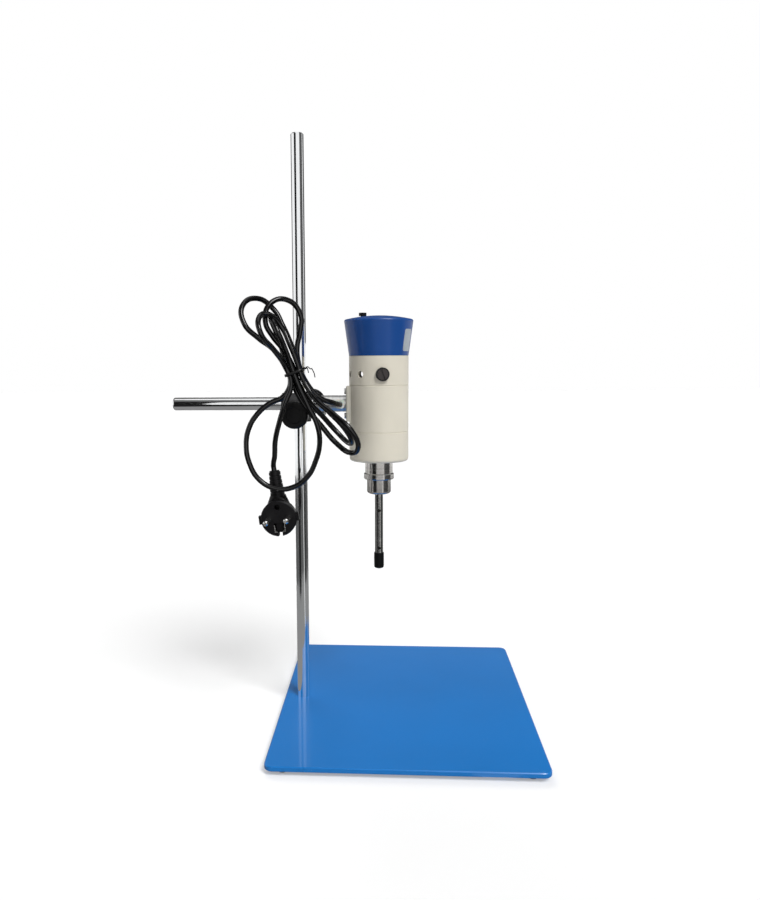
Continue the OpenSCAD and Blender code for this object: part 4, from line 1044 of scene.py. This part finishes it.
@dataclass
class MainsLead:
    """Mains lead, tied in a hank at the boss head, with its wire tie.

    Points are in millimetres from the crossing of the pole and the cross rod, as in the model.

    Attributes:
        finishes: The instrument's finishes.
        nodes: The frame's nodes by name; not used.
        crossing: Place in the frame, in metres, on the pole's axis at the rod's height.
        thick: Diameter of the lead.
        tie_at: Middle of the tie.
        tie_lean: Lean of the lanes through it towards -X, in degrees.
        lane_pitch: Distance between lanes.
        lane_end: How far the lanes run straight from the tie's middle.
        tie_half: Half the width of the bundle that the tie holds.
        tie_slack: Gap from there to the middle of the band's wall.
        tie_corner: Radius of the band's corners.
        tie_wave: How far the band wanders along the bundle.
        tie_section: Half the band's width and half its thickness.
        corner_faces: Faces round each corner of the band.
        tail_shapes: Reach, drop and crimp of each tail.
        tail_section: Half the width and half the thickness of a tail.
        tail_turns: Turns of the twist between the tails.
        tail_apart: Distance of each from the middle of the twist.
        tail_inset: How far inside the bundle's side the tails start.
        tail_swing: How far round their sideways swing goes, in radians.
        tail_curl: Share by which the second one comes back in.
        tail_rise: Height of the arch that the tails make before they drop.
        tail_arch: How far round that arch goes, in radians.
        tail_part: How far the ends part to the front and the back.
        tail_steps: Faces along a tail.
        plug_at: Middle of the plug's face.
        plug_roll: Roll of the plug towards -X, in degrees.
        relief_back: How far its strain relief stands behind the face.
        relief_foot: Height of the strain relief's foot over the face's middle.
        relief_high: Length of the strain relief.
        grommet_x: Place of the grommet's axis along the rod.
        start_y: Where the lead starts inside the grommet.
        exit_y: Where the lead leaves the grommet; not used.
        least_gap: Points nearer than this are one point.
        length: Length of the whole lead, in metres; not used.
    """

    finishes: Finishes
    nodes: dict[str, Piece]
    crossing: Vector
    thick: float = 5.0
    tie_at: Vector = field(default_factory=lambda: Vector((3, -66, 31)))
    tie_lean: float = 19.0
    lane_pitch: float = 5.9
    lane_end: float = 9.0
    tie_half: float = 8.6
    tie_slack: float = 0.4
    tie_corner: float = 5.0
    tie_wave: float = 0.25
    tie_section: tuple[float, float] = (1.25, 0.45)
    corner_faces: int = 6
    tail_shapes: tuple[tuple[float, float, float], ...] = ((9.5, 12.0, 0.8), (7.0, 6.0, 0.55))
    tail_section: tuple[float, float] = (0.55, 0.45)
    tail_turns: float = 3.5
    tail_apart: float = 0.6
    tail_inset: float = 0.5
    tail_swing: float = 1.9
    tail_curl: float = 0.25
    tail_rise: float = 2.2
    tail_arch: float = 2.4
    tail_part: float = 2.5
    tail_steps: int = 48
    plug_at: Vector = field(default_factory=lambda: Vector((-13.4, -72, -105.5)))
    plug_roll: float = 7.0
    relief_back: float = 14.0
    relief_foot: float = 20.0
    relief_high: float = 24.0
    grommet_x: float = 42.5
    start_y: float = -29.0
    exit_y: float = -31.0
    least_gap: float = 0.5
    length: float = 1.475

    def lane(self, column: int, row: int, along: float) -> Vector:
        """Returns the point of this lane that lies so far along from the tie's middle."""
        across = self.lane_pitch * (column * leaning_side(self.tie_lean) + row * BACK)
        return self.tie_at + across + along * leaning_up(self.tie_lean)

    @staticmethod
    def ease(a: Vector, leave: Vector, b: Vector, arrive: Vector, count: int) -> list[Vector]:
        """Makes a smooth passage between two points.

        Args:
            a: Start.
            leave: Direction at the start.
            b: End.
            arrive: Direction at the end.
            count: Number of points between them.

        Returns:
            The points between.
        """
        points = []
        pull = (b - a).length
        for i in range(1, count + 1):
            t = i / (count + 1)
            points.append((2 * t**3 - 3 * t**2 + 1) * a + (t**3 - 2 * t**2 + t) * pull * leave
                          + (3 * t**2 - 2 * t**3) * b + (t**3 - t**2) * pull * arrive)
        return points

    def loop_points(self, loop: HankLoop) -> list[Vector]:
        """Lays out one loop of the hank.

        Args:
            loop: The loop.

        Returns:
            Its points, from the lane that it leaves by to the one that it comes back by.
        """
        twist = math.radians(loop.twist)
        out = loop.up * leaning_up(loop.lean)
        across = math.cos(twist) * loop.up * leaning_side(loop.lean) + math.sin(twist) * BACK
        centre = self.tie_at + (loop.reach - loop.radius) * out + loop.back * BACK
        first = self.lane(*loop.start, loop.up * self.lane_end)
        last = self.lane(*loop.end, loop.up * self.lane_end)
        along = loop.up * leaning_up(self.tie_lean)
        turn = [math.radians(w) for w in (0, 60, 120, 180)]
        arc = [centre + loop.radius * (math.cos(w) * across + math.sin(w) * out) for w in turn]
        return ([first] + self.ease(first, along, arc[0], out, loop.eased) + arc
                + self.ease(arc[-1], -out, last, -along, loop.eased))

    def plug_point(self, height: float) -> Vector:
        """Returns the point at this height on the axis of the plug's strain relief."""
        return self.plug_at + Vector((0, self.relief_back, 0)) + height * leaning_up(self.plug_roll)

    def route(self) -> list[Vector]:
        """Lays out the whole lead, loop by loop.

        Returns:
            The centre line from inside the grommet to inside the strain relief.
        """
        low, high = -self.lane_end, self.lane_end
        relief_top = self.relief_foot + self.relief_high
        points = [Vector((self.grommet_x, self.start_y, 0)), Vector((self.grommet_x, -40, 0)),
                  Vector((38, -51, 2)), Vector((26, -58, 7)), self.lane(1, 1, low)]
        points += self.loop_points(HankLoop(1, 12, 69, 18, 30, 4, (1, 1), (0, 0), 2))
        points.append(self.lane(0, 0, high))
        points += self.loop_points(HankLoop(-1, 38, 84, 16, 70, 4, (0, 0), (1, 0), 2))
        points.append(self.lane(1, 0, low))
        points += self.loop_points(HankLoop(1, 32, 79, 18, 40, 0, (1, 0), (-1, 0), 2))
        hanging = [(-3, -67, 32), (-1, -67, 23), (-3, -67, 15), (-9, -67, 8), (-20, -68, 3),
                   (-32, -69, -7), (-40, -70, -20), (-43, -70, -36), (-40, -70, -54),
                   (-31, -70, -69), (-16, -70, -77), (0, -70, -76), (14, -70, -66),
                   (22, -70, -51), (26, -71, -34), (24, -72, -17), (16, -72, 0)]
        points += [Vector(p) for p in hanging]
        points.append(self.lane(0, -1, low))
        points += self.loop_points(HankLoop(1, 24, 56, 16, -80, 4, (0, -1), (-1, 1), 1))
        points.append(self.lane(-1, 1, high))
        points += self.loop_points(HankLoop(-1, 38, 92, 16, 50, -12, (-1, 1), (1, -1), 2))
        points.append(self.lane(1, -1, low))
        points += self.loop_points(HankLoop(1, 26, 59, 16, 60, -16, (1, -1), (-1, -1), 1))
        points += [self.lane(-1, -1, high), self.lane(-1, -1, low)]
        points += [Vector(p) for p in ((-5, -74, 4), (-11, -72, -14), (-16, -67, -32),
                                       (-18, -60, -48))]
        points += [self.plug_point(relief_top + 6), self.plug_point(relief_top - 3)]
        return self.without_doubles(points)

    def without_doubles(self, points: list[Vector]) -> list[Vector]:
        """Leaves out each point that repeats its neighbour.

        Args:
            points: The points of a line.

        Returns:
            Those that are kept.
        """
        kept = points[:1]
        for point in points[1:]:
            if (point - kept[-1]).length > self.least_gap:
                kept.append(point)
        return kept

    def sheath(self) -> Piece:
        """Makes the lead as one smooth bar.

        Returns:
            The curve piece.
        """
        points = [self.crossing + p * MM for p in self.route()]
        curve = bpy.data.curves.new("mains_lead", "CURVE")
        curve.dimensions = "3D"
        curve.resolution_u = 8
        curve.twist_mode = "MINIMUM"
        curve.bevel_depth = self.thick / 2 * MM
        curve.bevel_resolution = 5
        curve.use_fill_caps = True
        spline = curve.splines.new("BEZIER")
        spline.bezier_points.add(len(points) - 1)
        for knot, point in zip(spline.bezier_points, points):
            knot.co = point
            knot.handle_left_type = "AUTO"
            knot.handle_right_type = "AUTO"
        piece = link_piece("mains_lead", curve, self.finishes.get("cord_black"))
        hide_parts("supply_cord")
        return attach(piece, "motor")

    def tie_place(self, side: float, back: float, along: float) -> Vector:
        """Returns the place in metres of a point given from the tie's middle."""
        local = side * leaning_side(self.tie_lean) + back * BACK + along * leaning_up(self.tie_lean)
        return self.crossing + (self.tie_at + local) * MM

    def band(self) -> Piece:
        """Makes the flat band of the wire tie round the bundle, with its twisted tails.

        Returns:
            The tie.
        """
        form = bmesh.new()
        corner = self.tie_corner
        straight = self.tie_half + self.tie_slack - corner
        ring = []
        for quarter, (sign_a, sign_b) in enumerate(((1, 1), (-1, 1), (-1, -1), (1, -1))):
            for k in range(self.corner_faces + 1):
                angle = quarter * math.pi / 2 + k * math.pi / (2 * self.corner_faces)
                ring.append((sign_a * straight + corner * math.cos(angle),
                             sign_b * straight + corner * math.sin(angle)))
        path = [self.tie_place(a, b, self.tie_wave * math.sin(3 * i))
                for i, (a, b) in enumerate(ring)]
        wide, thick = self.tie_section
        sweep(form, path, oval(wide * MM, thick * MM, 12), leaning_up(self.tie_lean), closed=True)
        self.tails(form)
        piece = mesh_piece("lead_tie", form, self.finishes.get("black_moulding"))
        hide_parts("cord_tie")
        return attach(piece, "motor")

    def tails(self, form: bmesh.types.BMesh) -> None:
        """Adds the tie's two tails: twisted together first, then each in its own curl.

        Args:
            form: The bmesh that takes them.
        """
        wide, thick = self.tail_section
        for strand, (reach, drop, crimp) in enumerate(self.tail_shapes):
            path = []
            for k in range(self.tail_steps + 1):
                t = k / self.tail_steps
                twist = 2 * math.pi * self.tail_turns * t + strand * math.pi
                swing = reach * math.sin(self.tail_swing * t) * (1 - self.tail_curl * strand * t)
                side = self.tie_half - self.tail_inset + swing
                rise = self.tail_rise * math.sin(self.tail_arch * t)
                along = rise - drop * t * t + crimp * math.sin(twist)
                part = self.tail_part * t * (1 - 2 * strand)
                back = -self.tie_half - self.tail_apart + part + self.tail_apart * math.cos(twist)
                path.append(self.tie_place(side, back, along))
            sweep(form, path, oval(wide * MM, thick * MM, 8), BACK)

    def build(self) -> None:
        lead, tie = self.sheath(), self.band()
        on_it = [tie.name, "plug_body", "plug_pins", "plug_earth_clips", "plug_strain_relief"]
        for name in (lead.name, *on_it):
            log.info("MainsLead: %s in place", name)


@dataclass
class MainsPlug(Assembly):
    """Moulded mains plug."""

    looks = {"plug_body": "plug_black", "plug_pins": "pin_nickel",
             "plug_earth_clips": "pin_nickel", "plug_strain_relief": "plug_black"}


# ---- Studio --------------------------------------------------------------------------------------


@dataclass
class ProductCamera:
    """Camera in front of the stand, a little above the middle of the pole.

    Attributes:
        place: Its place in metres.
        pitch: Angle that it looks down, in degrees.
        yaw: Turn from straight ahead towards the right, in degrees.
        roll: Turn about its own axis, in degrees.
        focal_pixels: Focal length in pixels of the frame.
        frame_wide: Width of the frame in pixels.
        frame_high: Height of the frame in pixels.
        axis_pixel: Column that the optical axis meets.
        sensor: Width of the sensor in millimetres.
        nearest: Distance from which it sees.
    """

    place: Vector = field(default_factory=lambda: Vector((0.0410, -0.7955, 0.3585)))
    pitch: float = 6.37
    yaw: float = -3.55
    roll: float = -0.35
    focal_pixels: float = 788.0
    frame_wide: int = 760
    frame_high: int = 900
    axis_pixel: float = 345.0
    sensor: float = 36.0
    nearest: float = 0.01

    def build(self) -> None:
        """Makes the camera and makes it the scene's own."""
        pitch, yaw, roll = (math.radians(a) for a in (self.pitch, self.yaw, self.roll))
        ahead = Vector((math.sin(yaw) * math.cos(pitch), math.cos(yaw) * math.cos(pitch),
                        -math.sin(pitch)))
        right = Vector((math.cos(yaw), -math.sin(yaw), 0))
        above = right.cross(ahead)
        level = math.cos(roll) * right + math.sin(roll) * above
        upright = -math.sin(roll) * right + math.cos(roll) * above
        data = bpy.data.cameras.new("product_camera")
        data.sensor_width = self.sensor
        data.lens = self.focal_pixels / self.frame_high * self.sensor
        data.shift_x = (self.frame_wide / 2 - self.axis_pixel) / self.frame_high
        data.clip_start = self.nearest
        camera = bpy.data.objects.new("product_camera", data)
        turn = Matrix((level, upright, -ahead)).transposed().to_4x4()
        camera.matrix_world = Matrix.Translation(self.place) @ turn
        bpy.context.scene.collection.objects.link(camera)
        bpy.context.scene.camera = camera
        log.info("ProductCamera: made")


@dataclass(frozen=True)
class Flag:
    """A card or a lamp face round the set, which only mirroring surfaces see.

    Attributes:
        name: Name of the card.
        start: Azimuth at which it starts, from the front towards the right, in degrees.
        end: Azimuth at which it ends.
        outline: Its radius and height along its profile, from the inside out.
        level: Brightness that it shows.
        face_degrees: Turn of each of its faces, about.
        fewest_faces: Number of faces that the shortest one has.
    """

    name: str
    start: float
    end: float
    outline: Outline
    level: float
    face_degrees: ClassVar[float] = 6.0
    fewest_faces: ClassVar[int] = 4

    def build(self) -> None:
        """Makes the card as a turned strip and keeps it out of all but mirrored rays."""
        form = bmesh.new()
        steps = max(self.fewest_faces, round((self.end - self.start) / self.face_degrees))
        strips = []
        for k in range(steps + 1):
            turn = math.radians(self.start + (self.end - self.start) * k / steps)
            out_x, out_y = math.sin(turn), -math.cos(turn)
            strips.append([form.verts.new((radius * out_x, radius * out_y, height))
                           for radius, height in self.outline])
        for near, far in zip(strips, strips[1:]):
            for i in range(len(self.outline) - 1):
                form.faces.new((near[i], far[i], far[i + 1], near[i + 1]))
        recipe = Recipe(self.name, (0.0, 0.0, 0.0), 1.0)
        recipe.keep("Specular IOR Level", 0.0)
        recipe.keep("Emission Color", WHITE)
        recipe.keep("Emission Strength", self.level)
        piece = mesh_piece(self.name, form, recipe.material)
        for rays in ("camera", "diffuse", "transmission", "volume_scatter", "shadow"):
            setattr(piece, f"visible_{rays}", False)


@dataclass
class Studio:
    """Pale floor, white surround, two soft lamps, and what only bright surfaces mirror.

    Attributes:
        floor_half: Half the floor's width.
        floor_tint: Its colour in linear light.
        floor_lift: Glow that brings the lit floor to white where it is seen or mirrored.
        ambient: Strength of the surround as a light.
        surround: Its strength where it is seen or mirrored.
        lying, standing, hanging, backing, far_floor, dark_floor, strip, lamp_face: Profiles of
            the flags, as pairs of a radius and a height.
    """

    floor_half: float = 9.0
    floor_tint: Colour = (0.68, 0.68, 0.68)
    floor_lift: float = 0.34
    ambient: float = 0.21
    surround: float = 1.0
    lying: Outline = ((0.01, 0.001), (1.7, 0.001))
    standing: Outline = ((1.7, 0.001), (1.7, 1.6))
    hanging: Outline = ((1.8, 1.35), (1.8, 2.4), (1.1, 3.0))
    backing: Outline = ((1.75, 0.42), (1.75, 1.6))
    far_floor: Outline = ((0.5, 0.002), (1.7, 0.002))
    dark_floor: Outline = ((0.42, 0.003), (1.7, 0.003))
    strip: Outline = ((0.19, 0.003), (1.7, 0.003))
    lamp_face: Outline = ((1.15, 1.15), (0.95, 1.5))

    def build(self) -> None:
        """Makes the whole studio."""
        self.floor()
        self.world()
        self.lamp("key_lamp", azimuth=38.0, elevation=50.0, strength=2.5, spread=24.0)
        self.lamp("back_lamp", azimuth=205.0, elevation=45.0, strength=0.9, spread=40.0)
        for flag in (Flag("flag_left", -54.0, -18.0, self.standing, 0.01),
                     Flag("flag_left_floor", -54.0, -18.0, self.dark_floor, 0.015),
                     Flag("flag_right", 44.0, 100.0, self.standing, 0.1),
                     Flag("flag_right_floor", 44.0, 100.0, self.dark_floor, 0.05),
                     Flag("flag_near_floor", 0.0, 360.0, self.lying, 0.27),
                     Flag("flag_far_floor", 0.0, 360.0, self.far_floor, 0.11),
                     Flag("strip_floor", 35.0, 44.0, self.strip, 0.95),
                     Flag("flag_back", 115.0, 245.0, self.backing, 0.08),
                     Flag("flag_overhead", 0.0, 360.0, self.hanging, 0.14),
                     Flag("lamp_face", 26.0, 50.0, self.lamp_face, 14.0)):
            flag.build()
        log.info("Studio: made")

    def floor(self) -> None:
        """Makes the floor, which shows white away from the object's shadow."""
        form = bmesh.new()
        half = self.floor_half
        form.faces.new([form.verts.new((x, y, 0)) for x, y in
                        ((-half, -half), (half, -half), (half, half), (-half, half))])
        recipe = Recipe("studio_floor", self.floor_tint, 0.9)
        recipe.feed("Base Color", recipe.drift(3.0, 0.01))
        seen = seen_or_mirrored(recipe.material.node_tree)
        recipe.feed("Emission Strength", recipe.combine("MULTIPLY", seen, self.floor_lift))
        recipe.keep("Emission Color", WHITE)
        recipe.keep("Specular IOR Level", 0.0)
        mesh_piece("studio_floor", form, recipe.material, smooth=False)

    def world(self) -> None:
        """Makes a plain grey sky that cameras and mirrors see as white."""
        world = bpy.data.worlds.new("studio_surround")
        bpy.context.scene.world = world
        world.use_nodes = True
        nodes, links = world.node_tree.nodes, world.node_tree.links
        background = nodes["Background"]
        strength = nodes.new("ShaderNodeMapRange")
        strength.inputs["To Min"].default_value = self.ambient
        strength.inputs["To Max"].default_value = self.surround
        links.new(seen_or_mirrored(world.node_tree), strength.inputs["Value"])
        links.new(strength.outputs["Result"], background.inputs["Strength"])
        background.inputs["Color"].default_value = WHITE

    @staticmethod
    def lamp(name: str, azimuth: float, elevation: float, strength: float,
             spread: float) -> None:
        """Makes a wide, distant lamp.

        Args:
            name: Name of the lamp.
            azimuth: Where it stands, from the front towards the right, in degrees.
            elevation: Its angle over the floor.
            strength: Its strength.
            spread: Angle that it fills, which softens its shadows.
        """
        data = bpy.data.lights.new(name, "SUN")
        data.energy = strength
        data.angle = math.radians(spread)
        lamp = bpy.data.objects.new(name, data)
        turn, rise = math.radians(azimuth), math.radians(elevation)
        place = Vector((math.sin(turn) * math.cos(rise), -math.cos(turn) * math.cos(rise),
                        math.sin(rise)))
        lamp.location = place
        lamp.rotation_euler = (-place).to_track_quat("-Z", "Y").to_euler()
        bpy.context.scene.collection.objects.link(lamp)


def colour_view() -> None:
    """Sets the plain view transform, so that colours show as they are written."""
    bpy.context.scene.view_settings.view_transform = "Standard"


def main() -> None:
    """Builds the studio and every sub-assembly."""
    logging.basicConfig(level=logging.INFO, format="%(name)s %(message)s")
    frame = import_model()
    colour_view()
    ProductCamera().build()
    finishes = Finishes()
    nodes = frame["nodes"]
    pole, rod = centre_of("pole"), centre_of("cross_rod")
    MainsLead(finishes, nodes, Vector((pole.x, pole.y, rod.z))).build()
    for assembly in (MainsPlug, Stand, BossHead, MotorMount, MotorHousing, MotorWorks, SpeedControl,
                     DispersingTool):
        assembly(finishes, nodes).build()
    Studio().build()


if __name__ == "__main__":
    main()
